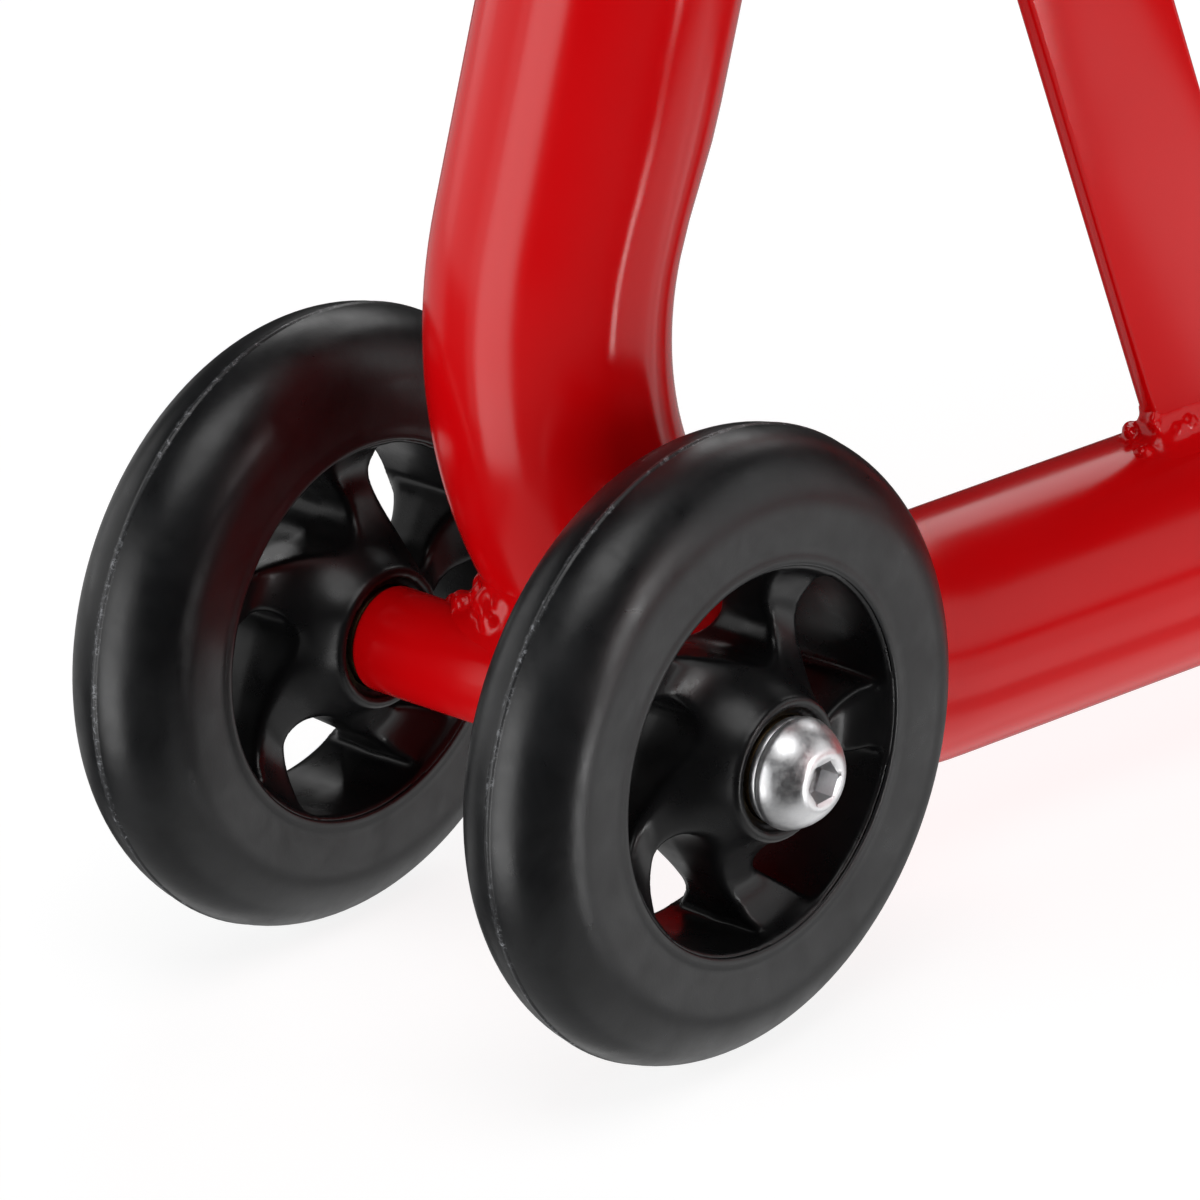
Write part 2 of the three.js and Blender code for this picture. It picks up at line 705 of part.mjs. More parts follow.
// The web is dished between the boss and the rim.
function hub(turn) {
  const bore = BUSH_RADIUS + FIT_GAP;
  const floor = HUB_BOSS_HALF - COUNTERBORE_DEPTH;
  const body = turned(bothWays([
    [bore, floor], [COUNTERBORE_RADIUS, floor], [COUNTERBORE_RADIUS, HUB_BOSS_HALF],
    [HUB_BOSS_RADIUS, HUB_BOSS_HALF], [12.8, 11.8], [15.6, 8], [20, 5.6], [25, 5.7], [28, 7.5],
    [HUB_RIM_INNER, HUB_RIM_HALF], [HUB_RIM_RADIUS, HUB_RIM_HALF],
  ]), 20);
  const openings = [];
  for (let i = 0; i < SPOKES; i += 1) {
    openings.push(hubOpening(turn + (i * 360) / SPOKES));
  }
  return cut(body, ...openings);
}

function bush() {
  return ring(BOLT_HOLE_RADIUS, BUSH_RADIUS, -BUSH_HALF, BUSH_HALF);
}

function wheelWasher() {
  return ring(BOLT_HOLE_RADIUS, WASHER_RADIUS, BUSH_HALF + FIT_GAP, BOLT_HEAD_SEAT - FIT_GAP);
}

function wheelBolt() {
  const tip = BOLT_TIP - WHEEL_HALF_SPACING;
  const body = turned([
    [0, tip], [BOLT_RADIUS, tip], [BOLT_RADIUS, BOLT_HEAD_SEAT], [BOLT_HEAD_RADIUS, BOLT_HEAD_SEAT],
    [BOLT_HEAD_RADIUS, BOLT_HEAD_SEAT + 1.2], [7.2, 20.4], [4.4, BOLT_HEAD_TOP], [0, BOLT_HEAD_TOP],
  ], 16);
  const socketLength = 2 * BOLT_SOCKET_DEPTH; // half of it stands above the head
  const hexSocket = new THREE.CylinderGeometry(BOLT_SOCKET_RADIUS, BOLT_SOCKET_RADIUS, socketLength, 6);
  hexSocket.translate(0, BOLT_HEAD_TOP, 0);
  return cut(body, hexSocket);
}

// How far each wheel's hub has rolled, in degrees.
const WHEELS = [
  { name: 'outer', outward: 1, turn: 47.4 },
  { name: 'inner', outward: -1, turn: 26.9 },
];

const wheelPieces = [
  ['tyre', tyre, tyreRubber],
  ['hub', hub, blackPlastic],
  ['bush', bush, bronze],
  ['washer', wheelWasher, zinc],
  ['bolt', wheelBolt, zinc],
];

// ---------------------------------------------------------------- assembly

const stand = new THREE.Group();

function addMesh(name, geometry, look) {
  const mesh = new THREE.Mesh(geometry, look);
  mesh.name = name;
  stand.add(mesh);
  return mesh;
}

const sidePieces = [
  ['side_tube', sideTube, redPaint],
  ['brace_strap', braceStrap, redPaint],
  ['axle_tube', axleTube, redPaint],
  ['socket_tube', socketTube, redPaint],
  ['clamp_boss', clampBoss, redPaint],
  ['top_cap', topCap, blackPlastic],
  ['clamp_stud', clampStud, zinc],
  ['clamp_knob', clampKnob, blackPlastic],
  ['bracket_shank', bracketShank, zinc],
  ['bracket_screw', bracketScrew, zinc],
  ['lift_bracket', liftBracket, steel],
  ['base_pad', basePad, padRubber],
  ['side_pad', sidePad, padRubber],
  ['handle_bolt', handleBolt, zinc],
  ['handle_nut', handleNut, zinc],
  ['foot_plate', footPlate, redPaint],
  ['rubber_foot', rubberFoot, padRubber],
];

for (const [sideName, side] of [['left', -1], ['right', 1]]) {
  for (const [pieceName, make, look] of sidePieces) {
    addMesh(`${sideName}_${pieceName}`, make(side), look);
  }
  for (const wheel of WHEELS) {
    const away = new THREE.Vector3(side * wheel.outward, 0, 0);
    const place = sidePoint(side, PAIR_X + wheel.outward * WHEEL_HALF_SPACING, AXLE_Y, axleZ);
    for (const [pieceName, make, look] of wheelPieces) {
      const direction = make === hub ? X_AXIS : away; // every hub sweeps the same way round
      const body = aim(make(wheel.turn), direction, place);
      addMesh(`${sideName}_${wheel.name}_${pieceName}`, body, look);
    }
  }
}

addMesh('cross_tube', crossTube(), redPaint);
addMesh('handle_tube', handleTube(), redPaint);
addMesh('handle_grip', handleGrip(), padRubber);

export default stand;
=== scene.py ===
import json
import random
from math import acos, asin, copysign, cos, degrees, pi, radians, sin, tan

import bmesh
import bpy
import numpy as np
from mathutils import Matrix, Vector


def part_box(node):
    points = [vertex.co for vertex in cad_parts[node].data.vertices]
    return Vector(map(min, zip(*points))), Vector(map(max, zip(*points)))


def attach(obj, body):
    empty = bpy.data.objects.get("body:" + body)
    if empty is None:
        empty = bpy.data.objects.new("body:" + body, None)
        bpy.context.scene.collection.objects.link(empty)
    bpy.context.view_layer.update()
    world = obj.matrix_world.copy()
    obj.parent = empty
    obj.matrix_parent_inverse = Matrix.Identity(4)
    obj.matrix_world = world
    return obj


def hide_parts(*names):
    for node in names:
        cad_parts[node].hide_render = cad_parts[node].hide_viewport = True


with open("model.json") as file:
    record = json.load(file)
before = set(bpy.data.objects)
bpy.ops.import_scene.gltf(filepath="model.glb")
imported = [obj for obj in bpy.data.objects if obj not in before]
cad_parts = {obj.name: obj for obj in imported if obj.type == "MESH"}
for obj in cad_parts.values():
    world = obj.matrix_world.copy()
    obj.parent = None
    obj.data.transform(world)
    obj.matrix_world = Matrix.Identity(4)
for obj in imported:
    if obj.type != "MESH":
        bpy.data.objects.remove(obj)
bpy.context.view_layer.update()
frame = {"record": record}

import openvdb
from mathutils import Matrix, Vector
from numpy.linalg import norm

# Sizes are in millimetres, in the frame's axes: +X width, +Y from the wheels to the handle, +Z up.
MM = 0.001

# ---- driving dimensions

JOINTS = {joint["name"]: joint for joint in frame["record"]["behaviour"]["joints"]}
SIDES = {"left": -1, "right": 1}
WHEELS = [(side, wheel) for side in SIDES for wheel in ("outer", "inner")]


def joint_place(name):
    return np.array(JOINTS[name]["pos_m"]) / MM


def wheel_centre(side, wheel):
    return joint_place(f"{side}_{wheel}_wheel_roll")


PAIR_MIDDLE = {side: (wheel_centre(side, "outer") + wheel_centre(side, "inner")) / 2 for side in SIDES}
AXLE_Y = PAIR_MIDDLE["left"][1]
SOCKET = {side: joint_place(f"{side}_bracket_swivel") for side in SIDES}
CLAMP_AXIS = {side: np.array(JOINTS[f"{side}_stud_travel"]["axis"]) for side in SIDES}

TUBE_RADIUS = 19.7
TUBE_WALL = 3.0
LOWER_TUBE_Z = 32.0
TOE_IN = radians(11.4)
HEEL_BEND_RADIUS = 67.8
HEEL_BEND_START = 79.0
UPRIGHT_LEAN = radians(17.5)
HEEL_TURN = pi / 2 + UPRIGHT_LEAN
HEEL_CORNER = HEEL_BEND_START - HEEL_BEND_RADIUS * tan(HEEL_TURN / 2)
SIDE_TUBE_END = 380.0
UPRIGHT_OVER_SOCKET = 30.0

STRAP_WIDTH = 26.0
STRAP_THICKNESS = 4.0
STRAP_FOOT = 127.7
STRAP_LEAN = radians(16.2)
STRAP_LENGTH = 250.0
STRAP_HEAD_SLANT = 34.0

CROSS_TUBE_RADIUS = 16.0
CROSS_TUBE_BACK = 265.0
HANDLE_RADIUS = 16.0
HANDLE_WALL = 2.0
HANDLE_INSERT_START = 322.0
HANDLE_RISE_START = 410.0
HANDLE_RISE = radians(30)
HANDLE_LEG = 230.0
HANDLE_RISE_RADIUS = 80.0
HANDLE_CORNER_RADIUS = 50.0
HANDLE_BOLT_BACK = 350.0
FOOT_BACK = 300.0

AXLE_TUBE_RADIUS = 8.4
BOLT_BORE = 5.35
SOCKET_TUBE_RADIUS = 13.5
SOCKET_BORE = 10.35
BOSS_RADIUS = 10.0
BOSS_BORE = 5.4
BOSS_START = 15.0
BOSS_END = 28.0
SCREW_HEAD = 7.0
SCREW_HEAD_HEIGHT = 4.2
SCREW_SOCKET = 2.9
GAP = 0.3  # left between pieces that touch

SHARP_ANGLE = 35
FAR = 1e3

# ---- materials


class Look:
    """A node material: a Principled shader and the procedural textures that feed it."""

    def __init__(self, name, colour, roughness, metallic=0.0, specular=0.5):
        self.material = bpy.data.materials.new(name)
        self.material.use_nodes = True
        self.tree = self.material.node_tree
        self.shader = self.tree.nodes["Principled BSDF"]
        self.shader.inputs["Base Color"].default_value = (*colour, 1.0)
        self.shader.inputs["Roughness"].default_value = roughness
        self.shader.inputs["Metallic"].default_value = metallic
        self.shader.inputs["Specular IOR Level"].default_value = specular
        self.coordinates = self.tree.nodes.new("ShaderNodeTexCoord").outputs["Object"]

    def node(self, kind, inputs=(), **settings):
        made = self.tree.nodes.new(kind)
        for key, value in settings.items():
            setattr(made, key, value)
        for key, value in inputs:
            made.inputs[key].default_value = value
        return made

    def link(self, output, target):
        self.tree.links.new(output, target)

    def noise(self, size_mm, detail, roughness=0.5, distortion=0.0):
        """Noise whose blobs are about size_mm across."""
        texture = (("Detail", detail), ("Roughness", roughness), ("Distortion", distortion))
        made = self.node("ShaderNodeTexNoise", (("Scale", 1.0 / (size_mm * MM)), *texture))
        self.link(self.coordinates, made.inputs["Vector"])
        return made.outputs["Fac"]

    def spread(self, source, low, high, to_low=0.0, to_high=1.0):
        ends = (("From Min", low), ("From Max", high), ("To Min", to_low), ("To Max", to_high))
        made = self.node("ShaderNodeMapRange", ends, clamp=True)
        self.link(source, made.inputs["Value"])
        return made.outputs["Result"]

    def times(self, first, second):
        made = self.node("ShaderNodeMath", operation="MULTIPLY")
        self.link(first, made.inputs[0])
        self.link(second, made.inputs[1])
        return made.outputs[0]

    def mix(self, factor, first, second):
        made = self.node("ShaderNodeMix", data_type="RGBA")
        self.link(factor, made.inputs["Factor"])
        for socket, value in ((made.inputs[6], first), (made.inputs[7], second)):
            if isinstance(value, tuple):
                socket.default_value = (*value, 1.0)
            else:
                self.link(value, socket)
        return made.outputs[2]

    def attribute(self, name):
        return self.node("ShaderNodeAttribute", attribute_name=name).outputs["Fac"]

    def bump(self, *layers):
        """Each layer is a height from 0 to 1 and its depth in mm."""
        normal = None
        for height, depth in layers:
            made = self.node("ShaderNodeBump", (("Strength", 1.0), ("Distance", depth * MM)))
            self.link(height, made.inputs["Height"])
            if normal is not None:
                self.link(normal, made.inputs["Normal"])
            normal = made.outputs["Normal"]
        self.link(normal, self.shader.inputs["Normal"])

    def mottle(self, blobs, low, high, first, second):
        """A colour that goes from first to second as the blobs go from low to high."""
        self.link(self.mix(self.spread(blobs, low, high), first, second), self.shader.inputs["Base Color"])

    def roughen(self, blobs, low, high, smooth, rough):
        self.link(self.spread(blobs, low, high, smooth, rough), self.shader.inputs["Roughness"])


def red_paint():
    look = Look("red_powder_coat", (0.63, 0.0008, 0.0025), 0.15, specular=0.3)
    look.mottle(look.noise(60, 3), 0.35, 0.65, (0.61, 0.0006, 0.0022), (0.65, 0.0009, 0.0028))
    look.roughen(look.noise(25, 4), 0.3, 0.7, 0.15, 0.22)
    look.bump((look.noise(5, 2), 0.005), (look.noise(0.7, 2), 0.0004))
    return look.material


def tyre_rubber():
    """Black rubber with a paler parting line on its crown, and scuffs beside that."""
    look = Look("tyre_rubber", (0.008, 0.0083, 0.009), 0.34, specular=0.42)
    blotch = look.spread(look.noise(14, 6, 0.65, 0.6), 0.38, 0.68)
    body = look.mix(blotch, (0.0045, 0.0047, 0.0053), (0.0105, 0.011, 0.012))
    line = look.spread(look.attribute("crown"), 0.88, 0.95)
    parting = look.times(line, look.spread(look.noise(22, 2), 0.3, 0.55))
    marked = look.mix(parting, body, (0.035, 0.036, 0.038))
    crown = look.spread(look.attribute("crown"), 0.72, 1.0)
    specks = look.spread(look.noise(1.1, 6, 0.8, 0.5), 0.53, 0.62)
    stretches = look.spread(look.noise(13, 3), 0.38, 0.52)
    scuff = look.times(look.times(crown, specks), stretches)
    look.link(look.mix(scuff, marked, (0.30, 0.31, 0.33)), look.shader.inputs["Base Color"])
    look.roughen(look.noise(8, 6, 0.65, 0.4), 0.32, 0.7, 0.27, 0.42)
    look.bump((look.noise(0.45, 3, 0.6), 0.012), (look.noise(10, 3), 0.08))
    return look.material


def hub_plastic():
    look = Look("hub_plastic", (0.0055, 0.0055, 0.006), 0.3, specular=0.33)
    look.mottle(look.noise(8, 4), 0.35, 0.7, (0.0045, 0.0045, 0.005), (0.0075, 0.0075, 0.008))
    look.roughen(look.noise(5, 5, 0.6), 0.3, 0.75, 0.24, 0.38)
    look.bump((look.noise(0.5, 3), 0.003), (look.noise(7, 2), 0.03))
    return look.material


def black_plastic():
    look = Look("moulded_plastic", (0.012, 0.012, 0.0125), 0.42)
    look.roughen(look.noise(6, 4), 0.3, 0.7, 0.36, 0.5)
    look.bump((look.noise(0.6, 3), 0.012), (look.noise(9, 2), 0.03))
    return look.material


def zinc():
    look = Look("bright_zinc", (0.82, 0.82, 0.83), 0.16, metallic=1.0)
    look.mottle(look.noise(0.9, 6, 0.7), 0.35, 0.7, (0.74, 0.745, 0.76), (0.88, 0.88, 0.885))
    look.roughen(look.noise(0.9, 6, 0.75), 0.32, 0.68, 0.28, 0.48)
    look.bump((look.noise(0.4, 5, 0.7), 0.008))
    return look.material


def bracket_steel():
    look = Look("zinc_plated_plate", (0.55, 0.56, 0.58), 0.32, metallic=1.0)
    look.mottle(look.noise(1.2, 6, 0.7, 0.6), 0.3, 0.75, (0.48, 0.49, 0.52), (0.62, 0.63, 0.64))
    look.roughen(look.noise(4, 6, 0.65), 0.3, 0.75, 0.24, 0.42)
    look.bump((look.noise(0.8, 4), 0.01))
    return look.material


def bush_bronze():
    look = Look("sintered_bronze", (0.42, 0.29, 0.14), 0.42, metallic=1.0)
    look.mottle(look.noise(0.5, 3), 0.4, 0.6, (0.36, 0.25, 0.12), (0.47, 0.33, 0.17))
    look.bump((look.noise(0.3, 3), 0.01))
    return look.material


def pad_rubber():
    look = Look("pad_rubber", (0.02, 0.02, 0.021), 0.72, specular=0.35)
    look.mottle(look.noise(12, 5), 0.35, 0.7, (0.016, 0.016, 0.017), (0.030, 0.030, 0.031))
    look.roughen(look.noise(5, 4), 0.3, 0.7, 0.64, 0.8)
    look.bump((look.noise(0.5, 3), 0.03))
    return look.material


def grip_rubber():
    look = Look("grip_rubber", (0.018, 0.018, 0.019), 0.66, specular=0.4)
    look.roughen(look.noise(7, 4), 0.3, 0.7, 0.56, 0.74)
    look.bump((look.noise(0.4, 3), 0.025))
    return look.material


def floor_look():
    look = Look("studio_floor", (0.25, 0.25, 0.25), 0.8, specular=0.1)
    look.mottle(look.noise(900, 2), 0.4, 0.6, (0.24, 0.24, 0.24), (0.26, 0.26, 0.26))
    look.shader.inputs["Emission Color"].default_value = (1.0, 1.0, 1.0, 1.0)
    look.shader.inputs["Emission Strength"].default_value = 0.86
    return look.material


LOOKS = {make.__name__: make() for make in (
    red_paint, tyre_rubber, hub_plastic, black_plastic, zinc, bracket_steel, bush_bronze,
    pad_rubber, grip_rubber,
)}
SLOT_OF = {part["node"]: part["material_slot"] for part in frame["record"]["subparts"]}
BODY_OF = {node: body for body, nodes in frame["record"]["behaviour"]["bodies"].items() for node in nodes}

# ---- pieces


def register(piece, slot, body, *nodes):
    piece.data.materials.append(LOOKS[slot])
    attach(piece, body)
    if nodes:
        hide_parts(*nodes)
    return piece


def add_to_scene(name, data):
    made = bpy.data.objects.new(name, data)
    bpy.context.scene.collection.objects.link(made)
    return made


def mesh_object(name, bm, sharp_angle=SHARP_ANGLE):
    bmesh.ops.recalc_face_normals(bm, faces=bm.faces)
    mesh = bpy.data.meshes.new(name)
    bm.to_mesh(mesh)
    bm.free()
    for polygon in mesh.polygons:
        polygon.use_smooth = True
    mesh.set_sharp_from_angle(angle=radians(sharp_angle))
    return add_to_scene(name, mesh)


def stand_for(node, piece):
    """The piece replaces a CAD node, with that node's body and material slot."""
    return register(piece, SLOT_OF[node], BODY_OF[node], node)


def part_piece(prefix, node, name, bm, sharp_angle=SHARP_ANGLE, holes=()):
    """A side's or a wheel's piece, with its holes, and the CAD node that it stands for."""
    piece = mesh_object(f"{prefix}_{name}", bm, sharp_angle)
    for hole in holes:
        drill(piece, *hole)
    return stand_for(f"{prefix}_{node}", piece)


def unit(vector):
    return np.array(vector, float) / norm(vector)


def add_points(bm, points):
    return [bm.verts.new(Vector(point) * MM) for point in points]


def loft(rings, ring_closed=False):
    """Joins rings of points, in mm. A ring of one point closes to a tip; ends are capped."""
    bm = bmesh.new()
    made = [add_points(bm, ring) for ring in rings]
    pairs = list(zip(made, made[1:]))
    if ring_closed:
        pairs.append((made[-1], made[0]))
    for first, second in pairs:
        if len(first) == 1 and len(second) == 1:
            continue
        count = max(len(first), len(second))
        for i in range(count):
            j = (i + 1) % count
            if len(first) == 1:
                bm.faces.new((first[0], second[j], second[i]))
            elif len(second) == 1:
                bm.faces.new((first[i], first[j], second[0]))
            else:
                bm.faces.new((first[i], first[j], second[j], second[i]))
    if not ring_closed:
        for ring in (made[0], made[-1]):
            if len(ring) > 2:
                bm.faces.new(ring)
    return bm


def rounded(corners, closed, steps):
    """An outline of (a, b, fillet radius) corners with the fillets drawn as arcs."""
    points = []
    count = len(corners)
    for i, (a, b, radius) in enumerate(corners):
        here = np.array((a, b), float)
        at_end = not closed and i in (0, count - 1)
        if radius <= 0 or at_end:
            points.append(here)
            continue
        back = unit(corners[i - 1][:2] - here)
        ahead = unit(corners[(i + 1) % count][:2] - here)
        half = acos(float(np.clip(back @ ahead, -1, 1))) / 2
        centre = here + unit(back + ahead) * radius / sin(half)
        start = here + back * radius / tan(half) - centre
        end = here + ahead * radius / tan(half) - centre
        sweep = pi - 2 * half
        for k in range(steps + 1):
            t = k / steps
            points.append(centre + (sin((1 - t) * sweep) * start + sin(t * sweep) * end) / sin(sweep))
    return points


def axis_frame(axis):
    """Three columns: two directions across the axis, and the axis."""
    axis = unit(axis)
    across = unit(np.cross((0, 0, 1), axis))
    return np.column_stack((across, np.cross(axis, across), axis))


def turned(profile, centre, axis, segments, shape=None, closed=False):
    """A body of revolution. shape(angles, radius, height) may change the radius round the body."""
    frame_axes = axis_frame(axis)
    centre = np.array(centre, float)
    rings = []
    angles = np.arange(segments) * 2 * pi / segments
    for radius, height in profile:
        if radius < 1e-6:
            rings.append([centre + frame_axes @ np.array((0, 0, height))])
            continue
        radii = np.full(segments, radius) if shape is None else shape(angles, radius, height)
        local = np.column_stack((radii * np.cos(angles), radii * np.sin(angles), np.full(segments, height)))
        rings.append(centre + local @ frame_axes.T)
    return loft(rings, ring_closed=closed)


def lathe(corners, centre, axis, segments, steps=3, closed=True, shape=None):
    """A body of revolution from (radius, height, fillet radius) corners."""
    return turned(rounded(corners, closed, steps), centre, axis, segments, shape, closed)


def bent_path(corners, radii, degrees_per_step, straight_step=1000.0):
    """Points and directions along straight runs joined by arcs."""
    corners = [np.array(corner, float) for corner in corners]
    points, directions = [], []

    def add_straight(start, end):
        span = end - start
        length = norm(span)
        steps = max(1, round(length / straight_step))
        for k in range(1 if points else 0, steps + 1):
            points.append(start + span * k / steps)
            directions.append(span / length)

    start = corners[0]
    for i in range(1, len(corners) - 1):
        arriving = unit(corners[i] - corners[i - 1])
        leaving = unit(corners[i + 1] - corners[i])
        turn = acos(float(np.clip(arriving @ leaving, -1, 1)))
        radius = radii[i - 1]
        setback = radius * tan(turn / 2)
        arc_start = corners[i] - arriving * setback
        add_straight(start, arc_start)
        inward = unit(leaving - arriving * (arriving @ leaving))
        centre = arc_start + inward * radius
        steps = max(4, round(degrees(turn) / degrees_per_step))
        for k in range(1, steps + 1):
            angle = turn * k / steps
            points.append(centre - inward * radius * cos(angle) + arriving * radius * sin(angle))
            directions.append(arriving * cos(angle) + inward * sin(angle))
        start = corners[i] + leaving * setback
    add_straight(start, corners[-1])
    return np.array(points), np.array(directions)


def carried_frames(directions, first_side):
    """A side direction for each station, carried along the path without twist."""
    side = np.array(first_side, float)
    sides = []
    for direction in directions:
        side = unit(side - direction * (side @ direction))
        sides.append(side)
    return np.array(sides)


def tube_bm(path, first_side, outer, inner, segments, squeeze=None):
    """A hollow tube with softened ends. squeeze(station, angles) scales the section's radius."""
    points, directions = path
    sides = carried_frames(directions, first_side)
    ups = np.cross(directions, sides)
    angles = np.arange(segments) * 2 * pi / segments

    def ring(i, radius, shift=0.0):
        scale = 1.0 if squeeze is None else squeeze(i, angles)
        across = (radius * scale * np.cos(angles))[:, None] * sides[i]
        up = (radius * scale * np.sin(angles))[:, None] * ups[i]
        return points[i] + across + up + directions[i] * shift

    last = len(points) - 1
    edge = 0.5
    rings = [ring(0, outer - edge), ring(0, outer, edge)]
    rings += [ring(i, outer) for i in range(1, last)]
    rings += [ring(last, outer, -edge), ring(last, outer - edge)]
    rings += [ring(i, inner) for i in range(last, -1, -1)]
    return loft(rings, ring_closed=True)


def drill(piece, centre, axis, radius, length=30.0):
    """Cuts a round hole in a piece, from -length to length along the axis."""
    bm = turned([(0, -length), (radius, -length), (radius, length), (0, length)], centre, axis, 64)
    cutter = mesh_object("drill", bm)
    modifier = piece.modifiers.new("hole", "BOOLEAN")
    modifier.operation = "DIFFERENCE"
    modifier.solver = "EXACT"
    modifier.object = cutter
    depsgraph = bpy.context.evaluated_depsgraph_get()
    mesh = bpy.data.meshes.new_from_object(piece.evaluated_get(depsgraph))
    piece.modifiers.clear()
    piece.data = mesh
    mesh.set_sharp_from_angle(angle=radians(SHARP_ANGLE))
    bpy.data.objects.remove(cutter, do_unlink=True)


def field_mesh(field, low, voxel):
    """The zero surface of a grid of distances, in mm, as a bmesh in metres."""
    grid = openvdb.FloatGrid(background=3.0 * voxel)
    grid.copyFromArray(np.ascontiguousarray(field, dtype=np.float32))
    points, triangles, quads = grid.convertToPolygons(isovalue=0.0, adaptivity=0.0)
    bm = bmesh.new()
    verts = add_points(bm, points * voxel + np.array(low))
    for face in list(triangles) + list(quads):
        bm.faces.new([verts[int(i)] for i in face])
    return bm


def smoothed(bm, rounds):
    """Takes the voxel steps out of a mesh made from a field."""
    every_axis = {"use_axis_x": True, "use_axis_y": True, "use_axis_z": True}
    for _ in range(rounds):
        bmesh.ops.smooth_vert(bm, verts=bm.verts, factor=0.5, **every_axis)
    return bm


def smooth_min(a, b, k):
    h = np.clip(0.5 + 0.5 * (b - a) / k, 0, 1)
    return b + (a - b) * h - k * h * (1 - h)


def smooth_max(a, b, k):
    return -smooth_min(-a, -b, k)


def jitter(rng, share):
    return np.array([rng.uniform(-share, share) for _ in range(3)])


def weld(name, seam, radius, seed, bodies=None, fillet=7.0, voxel=0.45, lumps_per_mm=0.7):
    """Lumps laid along a seam. bodies(places) gives the distances to the two bodies that the
    weld joins: the weld then also fills the corner between them, and lumps cover its open face."""
    rng = random.Random(seed)
    seam = np.array(seam)
    along = np.concatenate(([0], np.cumsum(norm(np.diff(seam, axis=0), axis=1))))
    margin = 2 * radius if bodies is None else fillet
    low = seam.min(axis=0) - margin - voxel
    high = seam.max(axis=0) + margin + voxel
    axes = [np.arange(low[i], high[i], voxel) for i in range(3)]
    places = np.stack(np.meshgrid(*axes, indexing="ij"), axis=-1)
    grid = np.full(places.shape[:-1], FAR)
    from_seam = grid.copy()
    lump_spacing = 0.7 * radius
    for s in np.linspace(0, along[-1], max(4, int(along[-1] / lump_spacing))):
        centre = np.array([np.interp(s, along, seam[:, axis]) for axis in range(3)])
        size = radius * rng.uniform(0.8, 1.12)
        shift = jitter(rng, 0.15) * radius
        first_cell = (centre - low - margin) / voxel
        last_cell = (centre - low + margin) / voxel
        window = tuple(slice(max(0, int(a)), int(b) + 2) for a, b in zip(first_cell, last_cell))
        near = places[window]
        lump = norm(near - centre - shift, axis=-1) - size
        grid[window] = smooth_min(grid[window], lump, 0.35 * radius)
        from_seam[window] = np.minimum(from_seam[window], norm(near - centre, axis=-1))
    if bodies is not None:
        first, second = bodies(places)
        corner = np.maximum(smooth_min(first, second, fillet) + 0.25, from_seam - 0.8 * fillet)
        grid = smooth_min(corner, grid, 0.5 * radius)
        open_face = (np.abs(grid) < voxel) & (np.minimum(first, second) > 0.3)
        spots = np.argwhere(open_face)
        cells = int(margin / voxel)
        for _ in range(int(along[-1] * lumps_per_mm)):
            spot = spots[rng.randrange(len(spots))]
            centre = low + spot * voxel + jitter(rng, 0.25) * radius
            size = radius * rng.uniform(0.3, 0.6)
            window = tuple(slice(max(0, cell - cells), cell + cells + 1) for cell in spot)
            lump = norm(places[window] - centre, axis=-1) - size
            grid[window] = smooth_min(grid[window], lump, 0.8 * radius)
    grid = np.clip(grid, -3 * voxel, 3 * voxel)
    register(mesh_object(name, field_mesh(grid, low, voxel), 60), "red_paint", "frame")


# ---- side frame


def in_frame(side, back, up, across=0.0):
    """A point of a side frame's own plane: back from the axle, up from the ground, across the plane."""
    sign = SIDES[side]
    back_direction = np.array((-sign * sin(TOE_IN), cos(TOE_IN), 0))
    across_direction = np.cross(back_direction, (0, 0, 1))
    origin = np.array((PAIR_MIDDLE[side][0], AXLE_Y, 0))
    return origin + back_direction * back + across_direction * across + np.array((0, 0, up))


def frame_directions(side):
    """A side frame's own directions: back, up, and across its plane."""
    origin = in_frame(side, 0, 0)
    return in_frame(side, 1, 0) - origin, np.array((0.0, 0.0, 1.0)), in_frame(side, 0, 0, 1) - origin


def upright_direction(side):
    top = in_frame(side, HEEL_CORNER + tan(UPRIGHT_LEAN), LOWER_TUBE_Z + 1)
    return unit(top - in_frame(side, HEEL_CORNER, LOWER_TUBE_Z))


def upright_top(side):
    return SOCKET[side] + upright_direction(side) * UPRIGHT_OVER_SOCKET


def side_path(side):
    corners = [
        in_frame(side, SIDE_TUBE_END, LOWER_TUBE_Z),
        in_frame(side, HEEL_CORNER, LOWER_TUBE_Z),
        upright_top(side),
    ]
    return bent_path(corners, [HEEL_BEND_RADIUS], 2.0, 6.0)


SIDE_PATHS = {side: side_path(side) for side in SIDES}


def path_distance(path_points, place):
    """How far a place is from a path's centre line."""
    starts = path_points[:-1]
    spans = path_points[1:] - starts
    t = np.clip(((place - starts) * spans).sum(axis=1) / (spans * spans).sum(axis=1), 0, 1)
    return float(norm(starts + spans * t[:, None] - place, axis=1).min())


def tube_distance(side, places):
    """Distances from an array of places to the side tube's surface."""
    points = SIDE_PATHS[side][0]
    flat = places.reshape(-1, 3)
    middle = (flat.min(axis=0) + flat.max(axis=0)) / 2
    span = norm(flat.max(axis=0) - middle) + TUBE_RADIUS + 10
    nearest = np.full(places.shape[:-1], 1e6)
    for start, end in zip(points, points[1:]):
        if path_distance(np.array((start, end)), middle) > span:
            continue
        run = end - start
        t = np.clip(((places - start) @ run) / (run @ run), 0, 1)
        nearest = np.minimum(nearest, ((places - start - t[..., None] * run) ** 2).sum(axis=-1))
    return np.sqrt(nearest) - TUBE_RADIUS


def bar_distance(places, centre, axis, radius):
    """Distances to the surface of a long round bar."""
    axis = unit(axis)
    offset = places - np.array(centre)
    across = offset - (offset @ axis)[..., None] * axis
    return norm(across, axis=-1) - radius


